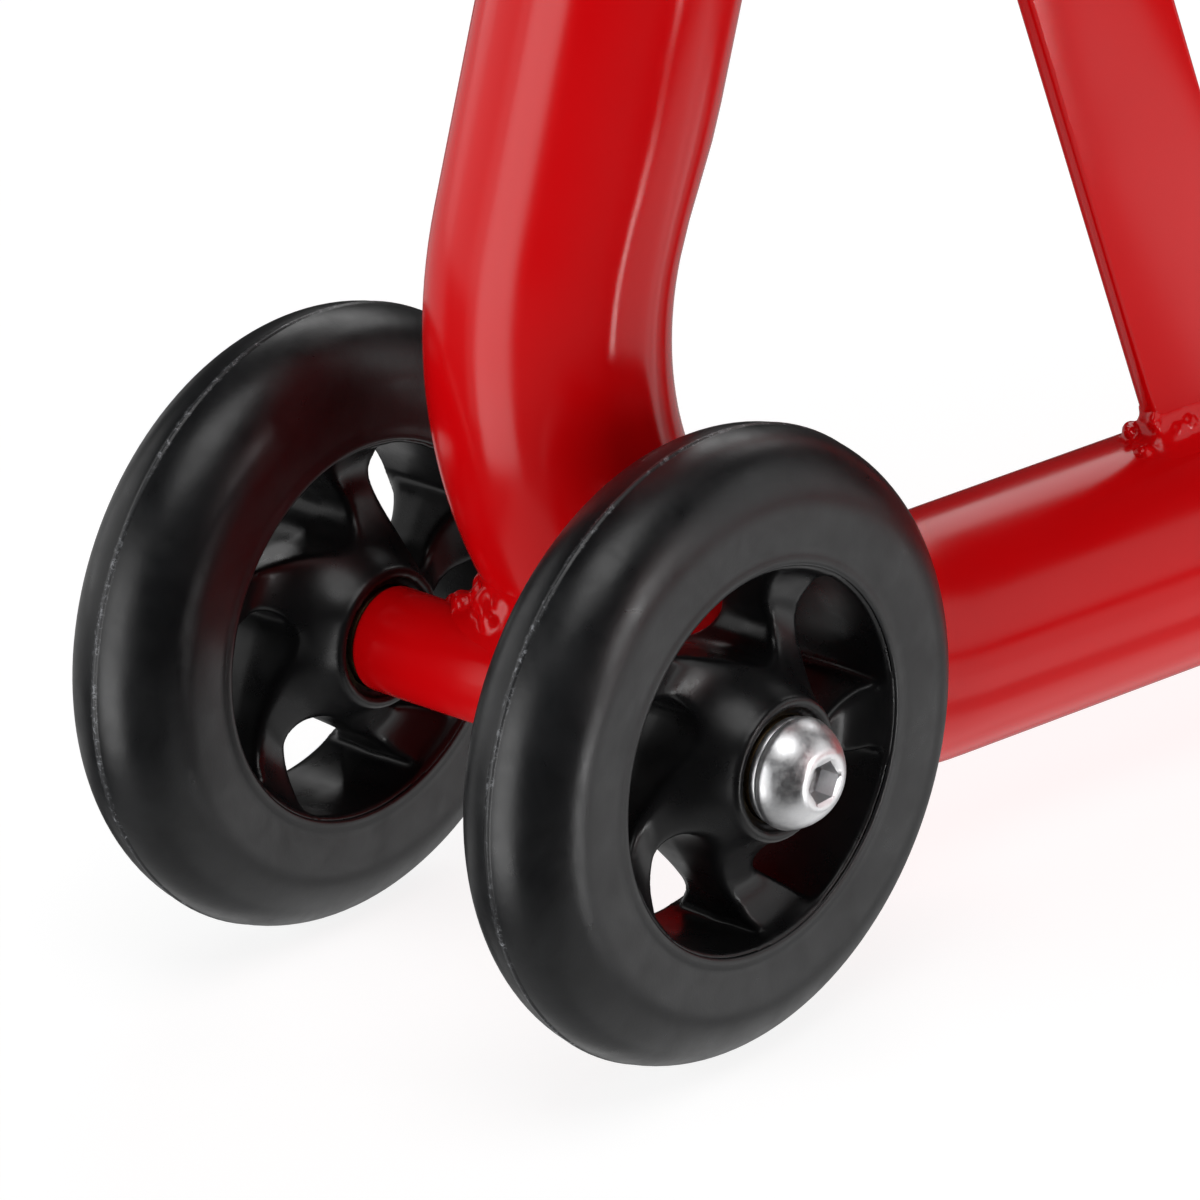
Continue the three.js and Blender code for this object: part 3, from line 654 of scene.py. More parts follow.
def reach(side, start, direction, radius, length):
    """Where a line from start first crosses the side tube's surface."""
    path = SIDE_PATHS[side][0]
    direction = unit(direction)

    def inside(along):
        return path_distance(path, start + direction * along) < radius

    at_start = inside(0.0)
    low, high = 0.0, length
    coarse = np.linspace(0, length, 60)
    for near, far in zip(coarse, coarse[1:]):
        if inside(far) != at_start:
            low, high = near, far
            break
    for _ in range(20):
        middle = (low + high) / 2
        if inside(middle) == at_start:
            low = middle
        else:
            high = middle
    return start + direction * low


def pressed_share(side):
    """How far bending has pressed each station of the side tube, from 0 to 1."""
    points = SIDE_PATHS[side][0]
    centre = in_frame(side, HEEL_BEND_START, LOWER_TUBE_Z + HEEL_BEND_RADIUS)
    from_centre = norm(points - centre, axis=1)
    beyond = np.sqrt(np.maximum(from_centre ** 2 - HEEL_BEND_RADIUS ** 2, 0))
    forwards = (centre - points) @ frame_directions(side)[0]
    bend_angle = np.arctan2(forwards, centre[2] - points[:, 2])
    fade_length = 23.0
    above = np.clip(1 - beyond / fade_length, 0, 1)
    below = np.clip(bend_angle / (0.55 * HEEL_TURN), 0, 1)
    fade = np.where(points[:, 2] > centre[2], above, below)
    return fade * fade * (3 - 2 * fade)


def side_tube(side):
    """The bent tube. Bending has pressed it: flatter inside the heel bend, and flat on both sides.
    It is drilled for the socket tube and for the clamp's stud."""
    pressed = pressed_share(side)
    points, directions = SIDE_PATHS[side]
    across = frame_directions(side)[2]
    heel = int(np.argmax(pressed))
    to_centre = in_frame(side, HEEL_BEND_START, LOWER_TUBE_Z + HEEL_BEND_RADIUS) - points[heel]
    up_there = np.cross(directions[heel], carried_frames(directions, across)[heel])
    inner_sign = copysign(1.0, float(up_there @ to_centre))

    def squeeze(station, angles):
        amount = pressed[station]
        inwards = np.clip(np.sin(angles) * inner_sign, 0, 1)
        oval = 1 / np.sqrt(1 - inwards ** 2 + (inwards / (1 - 0.125 * amount)) ** 2)
        flat = (1 - 0.016 * amount) / np.maximum(np.abs(np.cos(angles)), 1e-3)
        return smooth_min(oval, flat, 0.012)

    bm = tube_bm(SIDE_PATHS[side], across, TUBE_RADIUS, TUBE_RADIUS - TUBE_WALL, 96, squeeze)
    part_piece(side, "side_tube", "bent_tube", bm, holes=(
        (SOCKET[side], (1, 0, 0), SOCKET_TUBE_RADIUS - 0.1),
        (SOCKET[side] + CLAMP_AXIS[side] * 20, CLAMP_AXIS[side], BOSS_BORE, 15),
    ))


def plate_bm(outline, thickness, origin, first, second, bevel):
    """A flat plate: an outline in mm drawn along two directions from an origin, with soft edges."""
    first = np.array(first, float)
    second = np.array(second, float)
    bm = bmesh.new()
    layers = []
    for depth in (-thickness / 2, thickness / 2):
        middle = np.array(origin) + np.cross(first, second) * depth
        layers.append(add_points(bm, [middle + first * a + second * b for a, b in outline]))
    bottom, top = layers
    bm.faces.new(bottom[::-1])
    bm.faces.new(top)
    for i in range(len(outline)):
        j = (i + 1) % len(outline)
        bm.faces.new((bottom[i], bottom[j], top[j], top[i]))
    bmesh.ops.recalc_face_normals(bm, faces=bm.faces)
    if bevel > 0:
        rims = [edge for edge in bm.edges if edge.calc_face_angle(0) > radians(40)]
        round_edge = {"segments": 3, "profile": 0.5, "affect": "EDGES", "clamp_overlap": True}
        bmesh.ops.bevel(bm, geom=rims, offset=bevel * MM, **round_edge)
    return bm


def strap_point(side, along, width, across=0.0):
    """A point of the strap: along it from its foot, over its width from the front edge."""
    back = STRAP_FOOT - along * sin(STRAP_LEAN) + width / cos(STRAP_LEAN)
    up = LOWER_TUBE_Z + TUBE_RADIUS + along * cos(STRAP_LEAN)
    return in_frame(side, back, up, across)


def brace_strap(side):
    back, up, _ = frame_directions(side)
    sunk = 5.0
    base = LOWER_TUBE_Z + TUBE_RADIUS
    lean = np.array((-sin(STRAP_LEAN), cos(STRAP_LEAN)))
    front = np.array((STRAP_FOOT, base))
    rear = np.array((STRAP_FOOT + STRAP_WIDTH / cos(STRAP_LEAN), base))
    outline = [
        front - lean * sunk, rear - lean * sunk,
        rear + lean * STRAP_LENGTH, front + lean * (STRAP_LENGTH - STRAP_HEAD_SLANT),
    ]
    bm = plate_bm(outline, STRAP_THICKNESS, in_frame(side, 0, 0), back, up, 0.9)
    part_piece(side, "brace_strap", "flat_strap", bm)


def strap_distance(side, places):
    """Distances to the strap's faces."""
    origin = strap_point(side, 0, STRAP_WIDTH / 2)
    along = strap_point(side, 1, STRAP_WIDTH / 2) - origin
    across = frame_directions(side)[2]
    over = np.cross(along, across)
    offset = places - origin
    width = np.abs(offset @ over) - STRAP_WIDTH / 2
    thickness = np.abs(offset @ across) - STRAP_THICKNESS / 2
    outside = np.hypot(np.maximum(width, 0), np.maximum(thickness, 0))
    return outside + np.minimum(np.maximum(width, thickness), 0)


def strap_welds(side):
    half = STRAP_THICKNESS / 2
    loop = rounded([
        (0, -half, 0.8), (STRAP_WIDTH, -half, 0.8), (STRAP_WIDTH, half, 0.8), (0, half, 0.8),
    ], closed=True, steps=3)
    dense = []
    for i, here in enumerate(loop):
        ahead = loop[(i + 1) % len(loop)]
        pieces = max(1, int(norm(ahead - here) / 1.5))
        dense += [here + (ahead - here) * k / pieces for k in range(pieces)]
    dense.append(dense[0])
    direction = strap_point(side, 1, 0) - strap_point(side, 0, 0)

    def bodies(places):
        return tube_distance(side, places), strap_distance(side, places)

    for end, start, sign in (("foot", 20.0, -1), ("head", 150.0, 1)):
        seam = []
        for width, across in dense:
            begin = strap_point(side, start, width, across)
            seam.append(reach(side, begin, sign * direction, TUBE_RADIUS, 150))
        seed = 11 + SIDES[side] + len(end)
        weld(f"{side}_strap_{end}_weld", seam, 1.7, seed, bodies, fillet=7.5, lumps_per_mm=0.5)


def tube_across(side, node, name, centre, bore, radius, edge, segments):
    """A short tube along X, as long as its CAD node."""
    low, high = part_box(f"{side}_{node}")
    half = (high[0] - low[0]) / 2 / MM
    corners = [(bore, -half, 0.3), (radius, -half, edge), (radius, half, edge), (bore, half, 0.3)]
    part_piece(side, node, name, lathe(corners, centre, (1, 0, 0), segments))


def axle_tube(side):
    tube_across(side, "axle_tube", "stub_axle_tube", PAIR_MIDDLE[side], BOLT_BORE, AXLE_TUBE_RADIUS, 0.7, 64)


def axle_weld(side):
    """Lumpy fillets over and under the axle tube, where it meets the heel bend."""

    def bodies(places):
        axle = bar_distance(places, PAIR_MIDDLE[side], (1, 0, 0), AXLE_TUBE_RADIUS)
        return tube_distance(side, places), axle

    for name, turn in (("upper", 1), ("lower", -1)):
        seam = []
        for x in np.linspace(-15, 15, 31):
            centre = PAIR_MIDDLE[side] + np.array((x, 0, 0))
            for angle in np.linspace(radians(150), 0, 60):
                place = centre + np.array((0, cos(angle), turn * sin(angle))) * AXLE_TUBE_RADIUS
                if path_distance(SIDE_PATHS[side][0], place) - TUBE_RADIUS < 0.4:
                    break
            seam.append(place)
        seed = 31 + turn
        weld(f"{side}_axle_{name}_weld", seam, 2.1, seed, bodies, fillet=10.0, voxel=0.4, lumps_per_mm=1.2)


def ring_on_tube(side, centre, axis, radius, sign=1, count=48, length=60):
    """The line where a round bar leaves the side tube."""
    axes = axis_frame(axis)
    points = []
    for angle in np.linspace(0, 2 * pi, count + 1):
        start = centre + axes @ np.array((radius * cos(angle), radius * sin(angle), 0))
        points.append(reach(side, start, sign * axes[:, 2], TUBE_RADIUS, length))
    return points


def socket_tube(side):
    tube_across(side, "socket_tube", "bracket_socket", SOCKET[side], SOCKET_BORE, SOCKET_TUBE_RADIUS, 0.8, 72)
    for name, sign in (("outer", SIDES[side]), ("inner", -SIDES[side])):
        points = ring_on_tube(side, SOCKET[side], (1, 0, 0), SOCKET_TUBE_RADIUS + 0.1, sign)
        weld(f"{side}_socket_{name}_weld", points, 2.1, seed=51 + sign)


def clamp_boss(side):
    corners = [
        (BOSS_BORE, BOSS_START, 0), (BOSS_RADIUS, BOSS_START, 0),
        (BOSS_RADIUS, BOSS_END, 0.8), (BOSS_BORE, BOSS_END, 0.5),
    ]
    part_piece(side, "clamp_boss", "clamp_nut_boss", lathe(corners, SOCKET[side], CLAMP_AXIS[side], 64))
    foot_centre = SOCKET[side] + CLAMP_AXIS[side] * (BOSS_START - 1)
    points = ring_on_tube(side, foot_centre, CLAMP_AXIS[side], BOSS_RADIUS + 0.2)
    weld(f"{side}_boss_weld", points, 1.8, seed=71)


def top_cap(side):
    corners = [
        (0, -10, 0), (15.8, -10, 1), (16.1, GAP, 0), (TUBE_RADIUS, GAP, 0.3), (TUBE_RADIUS, 2.2, 0.8),
        (16.4, 4.1, 3), (0, 4.4, 0),
    ]
    bm = lathe(corners, upright_top(side), upright_direction(side), 72, 4, closed=False)
    part_piece(side, "top_cap", "end_cap", bm)


def clamp_stud(side):
    start, end, pitch = 10.7, 47.4, 1.5
    root, crest = 4.2, 4.95
    profile = [(0.0, start), (root - 0.3, start), (root, start + 0.5)]
    height = start + 1.0
    while height < end - pitch:
        profile += [(root, height), (crest, height + pitch / 2)]
        height += pitch
    profile += [(root, end - 1), (root - 0.6, end), (0.0, end)]
    bm = turned(profile, SOCKET[side], CLAMP_AXIS[side], 48)
    part_piece(side, "clamp_stud", "clamp_screw", bm, 25)


def clamp_knob(side):
    """A star knob with a blind bore for the stud."""
    base = 34.0
    bore, bore_end = 5.45, base + 14.3
    lobes = 5

    def lobed(angles, radius, height):
        depth = 2.5 * np.clip((radius - 9.5) / 8, 0, 1)
        return radius - depth + depth * np.cos(angles * lobes)

    corners = [
        (0, bore_end, 0), (bore, bore_end, 0), (bore, base, 0), (8.2, base, 0.5), (9, base + 7, 1.5),
        (19.5, base + 8, 1.6), (21, base + 14.5, 5), (18.5, base + 20.5, 3.5), (11, base + 20.7, 2),
        (9.5, base + 19.4, 1), (0, base + 19.4, 0),
    ]
    bm = lathe(corners, SOCKET[side], CLAMP_AXIS[side], 120, 6, closed=False, shape=lobed)
    part_piece(side, "clamp_knob", "star_knob", bm)


# ---- lift bracket

FLANGE_FACE = 42.0
FLANGE_THICKNESS = 5.0
FLANGE_INNER = FLANGE_FACE + FLANGE_THICKNESS
BRACKET_TIP = FLANGE_FACE + 48.0
BRACKET_BELOW = 35.0
BRACKET_FLOOR = FLANGE_THICKNESS - BRACKET_BELOW
BRACKET_ABOVE = 24.0
BRACKET_HALF = 25.0
SIDE_PAD = 6.0


def inward(side):
    return np.array((-SIDES[side], 0.0, 0.0))


def bracket_shank(side):
    end = FLANGE_INNER + GAP
    shoulder = FLANGE_FACE - GAP
    corners = [
        (0, -34, 0), (10, -34, 1.2), (10, shoulder, 0.5), (6, shoulder, 0), (6, end, 0.3),
        (4.3, end, 0), (4.3, end - 18, 0), (0, end - 18, 0),
    ]
    bm = lathe(corners, SOCKET[side], inward(side), 72, 4, closed=False)
    part_piece(side, "bracket_shank", "lift_shank", bm)


def hexagon(angles, half_flat):
    """The distance to the edge of a hexagon, in each direction."""
    return half_flat / np.cos(angles % (pi / 3) - pi / 6)


def button_screw(seat, shank_radius, tip):
    """The profile of a domed screw along its axis, with its socket, as (radius, height)."""
    top = seat + SCREW_HEAD_HEIGHT
    flat = SCREW_HEAD * 0.55
    sweep = pi / 2 * 0.62
    profile = [(0.0, tip), (shank_radius - 0.6, tip), (shank_radius, tip + 0.6), (shank_radius, seat)]
    profile += [(SCREW_HEAD - 0.3, seat), (SCREW_HEAD, seat + 0.3)]
    for angle in np.linspace(0, sweep, 9):
        narrower = (SCREW_HEAD - flat) * (1 - cos(angle)) / (1 - cos(sweep))
        higher = (SCREW_HEAD_HEIGHT - 1.0) * sin(angle) / sin(sweep)
        profile.append((SCREW_HEAD - narrower, seat + 1.0 + higher))
    profile += [
        (SCREW_SOCKET + 0.35, top), (SCREW_SOCKET, top - 0.3), (SCREW_SOCKET, top - SCREW_HEAD_HEIGHT * 0.6),
        (0.0, top - SCREW_HEAD_HEIGHT * 0.72),
    ]
    return profile


def screw_piece(side, node, name, centre, axis, seat, shank_radius, tip):
    top = seat + SCREW_HEAD_HEIGHT

    def shape(angles, radius, height):
        if radius > SCREW_SOCKET + 0.2 or height < top - SCREW_HEAD_HEIGHT * 0.7:
            return np.full(len(angles), radius)
        return hexagon(angles, radius * 0.9)

    bm = turned(button_screw(seat, shank_radius, tip), centre, axis, 96, shape)
    part_piece(side, node, name, bm, 28)


def bracket_screw(side):
    seat = FLANGE_INNER + 2 * GAP
    screw_piece(side, "bracket_screw", "retaining_screw", SOCKET[side], inward(side), seat, 3.9, seat - 15.5)


def bracket_section(side, outline, bevel):
    """An outline drawn as (inwards, up) from the socket's centre, extruded along Y."""
    return plate_bm(outline, 2 * BRACKET_HALF, SOCKET[side], inward(side), (0, 0, 1), bevel)


def lift_bracket(side):
    """An angle plate with a hole for the shank's end."""
    outline = rounded([
        (FLANGE_FACE, BRACKET_ABOVE, 0), (FLANGE_INNER, BRACKET_ABOVE, 0),
        (FLANGE_INNER, BRACKET_FLOOR, 0.8), (BRACKET_TIP, BRACKET_FLOOR, 0),
        (BRACKET_TIP, -BRACKET_BELOW, 0), (FLANGE_FACE, -BRACKET_BELOW, 6),
    ], closed=True, steps=6)
    hole = (SOCKET[side] + inward(side) * (FLANGE_FACE + FLANGE_THICKNESS / 2), (1, 0, 0), 6.4)
    part_piece(side, "lift_bracket", "swivel_bracket", bracket_section(side, outline, 0.7), holes=[hole])


def base_pad(side):
    start = FLANGE_INNER + SIDE_PAD + 2 * GAP
    end = BRACKET_TIP
    low = BRACKET_FLOOR + GAP
    high = low + 8
    groove = high - 1.3
    corners = [(start, low, 0), (end, low, 0), (end, high - 0.5, 1.5)]
    ribs = 5
    pitch = (end - start - 4) / ribs
    for k in range(ribs):
        right = end - 2 - k * pitch
        corners += [(right, high, 0.4), (right - pitch * 0.62, high, 0.4)]
        corners += [(right - pitch * 0.72, groove, 0.3), (right - pitch * 0.9, groove, 0.3)]
    corners.append((start, high, 0.4))
    outline = rounded(corners, closed=True, steps=3)
    part_piece(side, "base_pad", "ribbed_pad", bracket_section(side, outline, 0))


def side_pad(side):
    start = FLANGE_INNER + GAP
    end = start + SIDE_PAD
    low = BRACKET_FLOOR + GAP
    high = BRACKET_ABOVE - 1
    corners = [(start, low, 0), (end, low, 0.8), (end, high, 2.5), (start, high, 0)]
    outline = rounded(corners, closed=True, steps=4)
    hole = (SOCKET[side] + inward(side) * (start + SIDE_PAD / 2), (1, 0, 0), 9.0)
    part_piece(side, "side_pad", "cheek_pad", bracket_section(side, outline, 0.5), holes=[hole])


# ---- cross tube, handle, feet


def cross_tube():
    """Its ends lie 5 mm inside the side tubes' sides."""
    end = in_frame("right", CROSS_TUBE_BACK, LOWER_TUBE_Z)
    middle = np.array((0, end[1], LOWER_TUBE_Z))
    half = end[0] - TUBE_RADIUS + 5
    bore = CROSS_TUBE_RADIUS - TUBE_WALL
    profile = [(bore, -half), (CROSS_TUBE_RADIUS, -half), (CROSS_TUBE_RADIUS, half), (bore, half)]
    bm = turned(profile, middle, (1, 0, 0), 72, closed=True)
    stand_for("cross_tube", mesh_object("cross_brace_tube", bm))
    for side, sign in SIDES.items():
        start = middle + np.array((sign * (half - 40), 0, 0))
        points = ring_on_tube(side, start, (sign, 0, 0), CROSS_TUBE_RADIUS, count=56, length=80)
        weld(f"{side}_cross_weld", points, 2.3, seed=91 + sign)


def handle_corners():
    rise = np.array((0, cos(HANDLE_RISE), sin(HANDLE_RISE)))
    legs = {}
    for side in SIDES:
        turn = in_frame(side, HANDLE_RISE_START, LOWER_TUBE_Z)
        legs[side] = [in_frame(side, HANDLE_INSERT_START, LOWER_TUBE_Z), turn, turn + rise * HANDLE_LEG]
    return legs["left"] + legs["right"][::-1]


def handle_tube():
    radii = [HANDLE_RISE_RADIUS, HANDLE_CORNER_RADIUS, HANDLE_CORNER_RADIUS, HANDLE_RISE_RADIUS]
    path = bent_path(handle_corners(), radii, 4)
    bm = tube_bm(path, (1, 0, 0), HANDLE_RADIUS, HANDLE_RADIUS - HANDLE_WALL, 64)
    stand_for("handle_tube", mesh_object("u_handle_tube", bm))


def handle_grip():
    """A ribbed sleeve round the middle of the handle's bar."""
    corner = handle_corners()[2]
    half = 56.0
    bore = HANDLE_RADIUS + 0.4
    outer = 20.0
    groove = outer - 1.1
    ribs = 14
    pitch = (2 * half - 16) / ribs
    corners = [(bore, -half, 0), (outer - 0.3, -half, 1.2)]
    for k in range(ribs):
        begin = -half + 8 + k * pitch
        corners += [(outer, begin, 0.3), (groove, begin + 1.0, 0.5)]
        corners += [(groove, begin + 2.6, 0.5), (outer, begin + 3.6, 0.3)]
    corners += [(outer - 0.3, half, 1.2), (bore, half, 0)]
    bm = lathe(corners, (0, corner[1], corner[2]), (1, 0, 0), 72, 2)
    stand_for("handle_grip", mesh_object("ribbed_grip", bm, 50))


def handle_fasteners(side):
    """The screw that holds the handle in the lower tube, and its nut on the inner side."""
    centre = in_frame(side, HANDLE_BOLT_BACK, LOWER_TUBE_Z)
    outwards = frame_directions(side)[2] * SIDES[side]
    seat = TUBE_RADIUS + GAP
    tip = -(TUBE_RADIUS + 9.5)
    screw_piece(side, "handle_bolt", "handle_screw", centre, outwards, seat, 4.0, tip)
    thickness = 6.5
    half_flat = 6.5
    low = -(seat + thickness)
    profile = [
        (4.1, low + 0.4), (4.6, low), (6.4, low), (7.5, low + 1.0), (7.5, low + thickness - 1.0),
        (6.4, low + thickness), (4.6, low + thickness), (4.1, low + thickness - 0.4),
    ]

    def six_sided(angles, radius, height):
        round_there = np.full(len(angles), radius)
        return np.minimum(round_there, hexagon(angles, half_flat)) if radius > 5 else round_there

    bm = turned(profile, centre, outwards, 96, six_sided, closed=True)
    part_piece(side, "handle_nut", "handle_hex_nut", bm, 25)


def foot(side):
    """A plate welded under the lower tube, and the rubber block under that."""
    back, _, across = frame_directions(side)
    half_length, half_width = 22.0, 17.0
    front, rear = FOOT_BACK - half_length, FOOT_BACK + half_length
    outline = rounded([
        (front, -half_width, 4), (rear, -half_width, 4), (rear, half_width, 4), (front, half_width, 4),
    ], closed=True, steps=5)
    tube_bottom = LOWER_TUBE_Z - TUBE_RADIUS
    thickness = 3.0
    plate_middle = in_frame(side, 0, tube_bottom - GAP - thickness / 2)
    bm = plate_bm(outline, thickness, plate_middle, back, across, 0.5)
    part_piece(side, "foot_plate", "foot_seat", bm)
    rings = []
    steps = ((0.0, 0.82), (0.25, 0.85), (1.2, 0.875), (3.0, 0.96), (3.9, 1.0), (8.4, 1.0), (8.7, 0.985))
    for height, size in steps:
        level = in_frame(side, FOOT_BACK, height)
        rings.append([level + (back * (a - FOOT_BACK) + across * b) * size for a, b in outline])
    part_piece(side, "rubber_foot", "foot_block", loft(rings), 50)
    for name, sign in (("outer", 1), ("inner", -1)):
        run = np.linspace(-18, 18, 20)
        points = [in_frame(side, FOOT_BACK + s, tube_bottom + 0.6, sign * 5.2) for s in run]
        weld(f"{side}_foot_{name}_weld", points, 1.8, seed=131 + sign)


# ---- wheels

WHEEL_TURN = {"inner": 26.9, "outer": 47.4}
HUB_RADIUS = 30.9
HUB_RIM_HALF = 10.3
HUB_RIM_INNER = 29.9
HUB_BOSS_HALF = 15.4
HUB_BOSS_RADIUS = 11.0
HUB_BORE = 8.2
HUB_RECESS_RADIUS = 9.6
HUB_RECESS_FLOOR = 14.2
SPOKES = 5


def tyre(side, wheel):
    """A fat round section on the hub's rim, with a lip at the bead and a parting line on the crown.
    The crown attribute is 1 on the parting line and fades to 0 beside it."""
    lip, middle, crown, half = 30.6, 38.6, 49.82, 11.0
    upper = [
        (lip + 0.6, 10.32), (lip, 10.34), (lip - 0.15, 10.5), (lip - 0.1, 10.7), (lip + 0.25, 10.88),
        (lip + 0.9, 10.9), (lip + 1.5, 10.78), (lip + 2.1, 10.72), (lip + 2.9, 10.78), (lip + 4.3, 10.9),
        (lip + 6.2, 10.98),
    ]
    for angle in np.linspace(0, pi / 2, 25):
        height = half * cos(angle)
        if height > 0.45:
            upper.append((middle + (crown - middle) * sin(angle), height))
    upper += [(crown - 0.02, 0.4), (crown + 0.17, 0.22), (crown + 0.18, 0.1)]
    profile = upper + [(radius, -height) for radius, height in reversed(upper)]
    centre = wheel_centre(side, wheel)
    bm = turned(profile, centre, (1, 0, 0), 144, closed=True)
    piece = mesh_object(f"{side}_{wheel}_tyre_moulding", bm, 50)
    crown_mark = piece.data.attributes.new("crown", "FLOAT", "POINT")
    offsets = [abs(vertex.co.x / MM - centre[0]) for vertex in piece.data.vertices]
    crown_mark.data.foreach_set("value", [max(0.0, 1.0 - offset / 3.2) for offset in offsets])
    stand_for(f"{side}_{wheel}_tyre", piece)


def polygon_distance(x, y, polygon):
    """Signed distance to a closed polygon, negative inside."""
    best = np.full(x.shape, 1e9)
    inside = np.zeros(x.shape, bool)
    count = len(polygon)
    for i in range(count):
        ax, ay = polygon[i]
        bx, by = polygon[(i + 1) % count]
        ex, ey = bx - ax, by - ay
        t = np.clip(((x - ax) * ex + (y - ay) * ey) / (ex * ex + ey * ey), 0, 1)
        best = np.minimum(best, np.hypot(x - ax - t * ex, y - ay - t * ey))
        crosses = ((ay > y) != (by > y)) & (x < (bx - ax) * (y - ay) / (by - ay + 1e-12) + ax)
        inside ^= crosses
    return np.where(inside, -best, best)


def hub_opening():
    """One swept opening, as (radius, degrees) from its middle, smoothed into a closed curve."""
    marks = [
        (30, 26), (27.5, 24.5), (24.5, 22), (20, 11.5), (17, -2), (15.2, -16), (15.1, -28), (16.5, -35),
        (18.5, -36.5), (20.5, -35), (22.5, -31), (25, -27), (27.5, -24), (30, -22), (30.6, -10), (30.6, 10),
    ]
    places = [np.array((r * cos(radians(a)), r * sin(radians(a)))) for r, a in marks]
    curve = []
    count = len(places)
    for i in range(count):
        p0, p1, p2, p3 = (places[(i + k) % count] for k in (-1, 0, 1, 2))
        for k in range(5):
            t = k / 5
            curve.append(0.5 * (2 * p1 + (p2 - p0) * t + (2 * p0 - 5 * p1 + 4 * p2 - p3) * t * t
                                + (3 * p1 - p0 - 3 * p2 + p3) * t ** 3))
    return curve


def hub_field(voxel):
    """Distances for the hub, with its axis along the third direction, and where the grid starts."""
    reach_out = HUB_RADIUS + 3 * voxel
    reach_up = HUB_BOSS_HALF + 3 * voxel
    flat_axis = np.arange(-reach_out, reach_out + voxel, voxel)
    high_axis = np.arange(-reach_up, reach_up + voxel, voxel)
    x, y = np.meshgrid(flat_axis, flat_axis, indexing="ij")
    r = np.hypot(x, y)
    curve = hub_opening()
    opening = np.full(x.shape, 1e9)
    for k in range(SPOKES):
        angle = -k * 2 * pi / SPOKES
        turned_x = x * cos(angle) - y * sin(angle)
        turned_y = x * sin(angle) + y * cos(angle)
        opening = np.minimum(opening, polygon_distance(turned_x, turned_y, curve))
    more_at_boss = 12 * np.exp(-(r - HUB_BOSS_RADIUS) / 4.82)
    more_at_rim = 5.67 * np.clip((r - 20) / 10, 0, 1.1) ** 2
    web_half = 3.64 + more_at_boss + more_at_rim
    r = r[:, :, None]
    z = np.abs(high_axis)[None, None, :]
    web = np.maximum((z - web_half[:, :, None]) * 0.8, r - 30.4)
    web = smooth_max(web, -(opening[:, :, None] - 0.05 * z), 1.1)
    rim = np.maximum(np.maximum(r - HUB_RADIUS, HUB_RIM_INNER - r), z - HUB_RIM_HALF)
    boss = np.maximum(r - HUB_BOSS_RADIUS, z - HUB_BOSS_HALF)
    body = smooth_min(smooth_min(rim, web, 1.6), boss, 1.0)
    body = smooth_max(body, z - HUB_BOSS_HALF, 0.3)
    recess = np.maximum(r - HUB_RECESS_RADIUS, HUB_RECESS_FLOOR - z)
    body = smooth_max(body, -recess, 0.4)
    body = np.maximum(body, HUB_BORE - r)
    return body, (-reach_out, -reach_out, -reach_up)


HUB_VOXEL = 0.5


def hub_mesh():
    """The shape that all four hubs share, at the origin, with its axis along Z."""
    field, low = hub_field(HUB_VOXEL)
    master = mesh_object("hub_master", smoothed(field_mesh(field, low, HUB_VOXEL), 3), 60)
    mesh = master.data
    bpy.data.objects.remove(master, do_unlink=True)
    return mesh


def hub(side, wheel, shared):
    """A copy of the shared hub, turned to its own angle and moved to its wheel."""
    mesh = shared.copy()
    turn = Matrix.Rotation(radians(WHEEL_TURN[wheel]), 4, "X")
    to_axle = Matrix(((0, 0, 1, 0), (1, 0, 0, 0), (0, 1, 0, 0), (0, 0, 0, 1)))
    place = Matrix.Translation(Vector(wheel_centre(side, wheel)) * MM)
    mesh.transform(place @ turn @ to_axle)
    stand_for(f"{side}_{wheel}_hub", add_to_scene(f"{side}_{wheel}_swept_hub", mesh))


def wheel_hardware(side, wheel):
    centre = wheel_centre(side, wheel)
    away = np.array((SIDES[side] * (1 if wheel == "outer" else -1), 0.0, 0.0))
    for node, name, radius, low, high in (
        ("bush", "plain_bush", 7.9, -14.5, 14.5),
        ("washer", "flat_washer", 8.4, 14.8, 16.1),
    ):
        corners = [(BOLT_BORE, low, 0.2), (radius, low, 0.3), (radius, high, 0.3), (BOLT_BORE, high, 0.2)]
        part_piece(f"{side}_{wheel}", node, name, lathe(corners, centre, away, 72, 2))
    wheel_bolt(side, wheel, centre, away)


def wheel_bolt(side, wheel, centre, away):
    """A domed M10 screw: the dome is a ball of 9.06 mm cut flat at the hexagon socket."""
    shank, tip = 5.0, -32.0
    seat, rim, top = 16.4, 8.75, 22.8
    ball, ball_centre, flat = 9.06, 15.06, 4.7
    socket, socket_end = 3.4, top - 3.6
    profile = [(0.0, tip), (shank - 0.6, tip), (shank, tip + 0.6), (shank, seat)]
    profile += [(rim - 0.3, seat), (rim, seat + 0.3), (rim, seat + 0.8)]
    start = asin((seat + 1.0 - ball_centre) / ball)
    end = asin((top - 0.25 - ball_centre) / ball)
    for angle in np.linspace(start, end, 17):
        profile.append((ball * cos(angle), ball_centre + ball * sin(angle)))
    profile += [
        (flat - 0.15, top - 0.05), (flat - 0.5, top), (socket + 0.35, top), (socket + 0.05, top - 0.25),
        (socket, socket_end), (0.0, socket_end - 1.0),
    ]

    def shape(angles, radius, height):
        if radius > socket + 0.2 or height < socket_end - 0.4:
            return np.full(len(angles), radius)
        return hexagon(angles, radius / 3.46 * 3.0)

    part_piece(f"{side}_{wheel}", "bolt", "domed_bolt", turned(profile, centre, away, 120, shape), 28)


# ---- the object

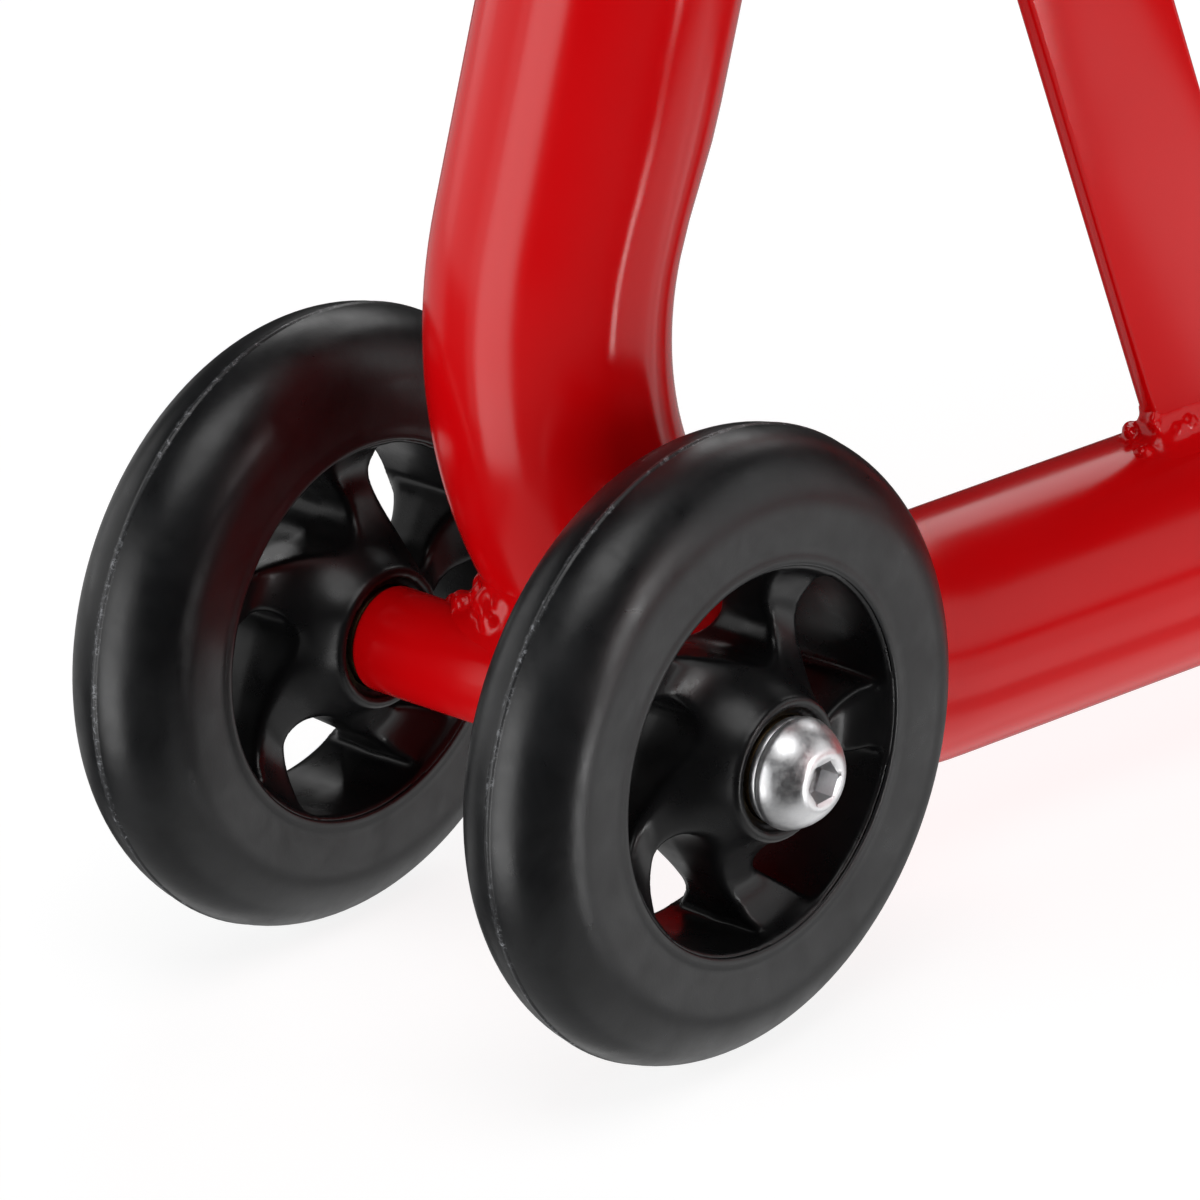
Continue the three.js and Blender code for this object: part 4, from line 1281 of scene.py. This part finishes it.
SIDE_MAKERS = (
    side_tube, brace_strap, strap_welds, axle_tube, axle_weld, socket_tube, clamp_boss, top_cap,
    clamp_stud, clamp_knob, bracket_shank, bracket_screw, lift_bracket, base_pad, side_pad,
    handle_fasteners, foot,
)
for side_name in SIDES:
    for make in SIDE_MAKERS:
        make(side_name)
shared_hub = hub_mesh()
for side_name, wheel_name in WHEELS:
    tyre(side_name, wheel_name)
    hub(side_name, wheel_name, shared_hub)
    wheel_hardware(side_name, wheel_name)
cross_tube()
handle_tube()
handle_grip()

# ---- stage


def add_floor():
    bpy.ops.mesh.primitive_plane_add(size=30, location=(0, 0, 0))
    floor = bpy.context.object
    floor.name = "studio_floor"
    floor.data.materials.append(floor_look())
    floor.visible_glossy = False


LIT = Vector((-0.19, -0.27, 0.12))  # what the lights are aimed at


def softbox(name, bearing, distance, height, size, brightness):
    """A lit panel, in metres. Its bearing is in degrees from +X towards +Y, seen from what it lights."""
    angle = radians(bearing)
    place = LIT + Vector((cos(angle) * distance, sin(angle) * distance, height))
    data = bpy.data.lights.new(name, "AREA")
    data.shape = "RECTANGLE"
    data.size, data.size_y = size
    data.energy = brightness * pi * size[0] * size[1]
    light = add_to_scene(name, data)
    light.location = place
    light.rotation_euler = (LIT - place).to_track_quat("-Z", "Y").to_euler()


def add_world():
    world = bpy.data.worlds.new("studio")
    bpy.context.scene.world = world
    world.use_nodes = True
    background = world.node_tree.nodes["Background"]
    background.inputs["Color"].default_value = (1, 1, 1, 1)
    background.inputs["Strength"].default_value = 0.03


CAMERA_AZIMUTH = radians(43.08)
CAMERA_ELEVATION = radians(24.4)
CAMERA_ROLL = radians(-3.15)
CAMERA_DISTANCE = 1563.0
AIM_RIGHT, AIM_UP = 13.62, 12.02
LENS = 306.3


def add_camera():
    right = Vector((cos(CAMERA_AZIMUTH), sin(CAMERA_AZIMUTH), 0))
    level = Vector((-sin(CAMERA_AZIMUTH), cos(CAMERA_AZIMUTH), 0))
    ahead = level * cos(CAMERA_ELEVATION) - Vector((0, 0, sin(CAMERA_ELEVATION)))
    up = right.cross(ahead)
    rolled_right = right * cos(CAMERA_ROLL) + up * sin(CAMERA_ROLL)
    rolled_up = up * cos(CAMERA_ROLL) - right * sin(CAMERA_ROLL)
    target = Vector(PAIR_MIDDLE["left"]) + rolled_right * AIM_RIGHT + rolled_up * AIM_UP
    place = (target - ahead * CAMERA_DISTANCE) * MM
    data = bpy.data.cameras.new("camera")
    data.lens = LENS
    data.sensor_width = 36
    data.clip_start = 0.05
    data.clip_end = 50
    camera = add_to_scene("camera", data)
    axes = Matrix((rolled_right, rolled_up, -ahead)).transposed().to_4x4()
    camera.matrix_world = Matrix.Translation(place) @ axes
    bpy.context.scene.camera = camera


view = bpy.context.scene.view_settings
view.view_transform = "Standard"
view.look = "None"
add_floor()
add_world()
softbox("left_box", -102, 1.2, -0.1, (0.7, 1.4), 3.0)
softbox("left_halo", -106, 1.25, 0.0, (1.05, 1.3), 0.6)
softbox("left_fill", -152, 1.2, 0.25, (1.5, 0.8), 0.9)
softbox("left_low", 176, 1.2, -0.35, (1.2, 0.8), 0.4)
softbox("right_strip", 13, 1.2, -0.1, (0.09, 1.2), 18.0)
softbox("right_panel", 44, 1.3, 0.0, (1.15, 1.8), 1.0)
softbox("back_panel", 115, 1.9, 1.3, (1.8, 0.9), 2.4)
softbox("under_back", 105, 0.8, -0.85, (1.8, 1.2), 0.3)
softbox("under_right", 20, 0.45, -0.6, (0.8, 0.8), 0.35)
softbox("under", -47, 0.05, -0.9, (1.7, 1.7), 0.35)
softbox("overhead", -40, 0.8, 2.2, (1.5, 1.5), 2.9)
add_camera()
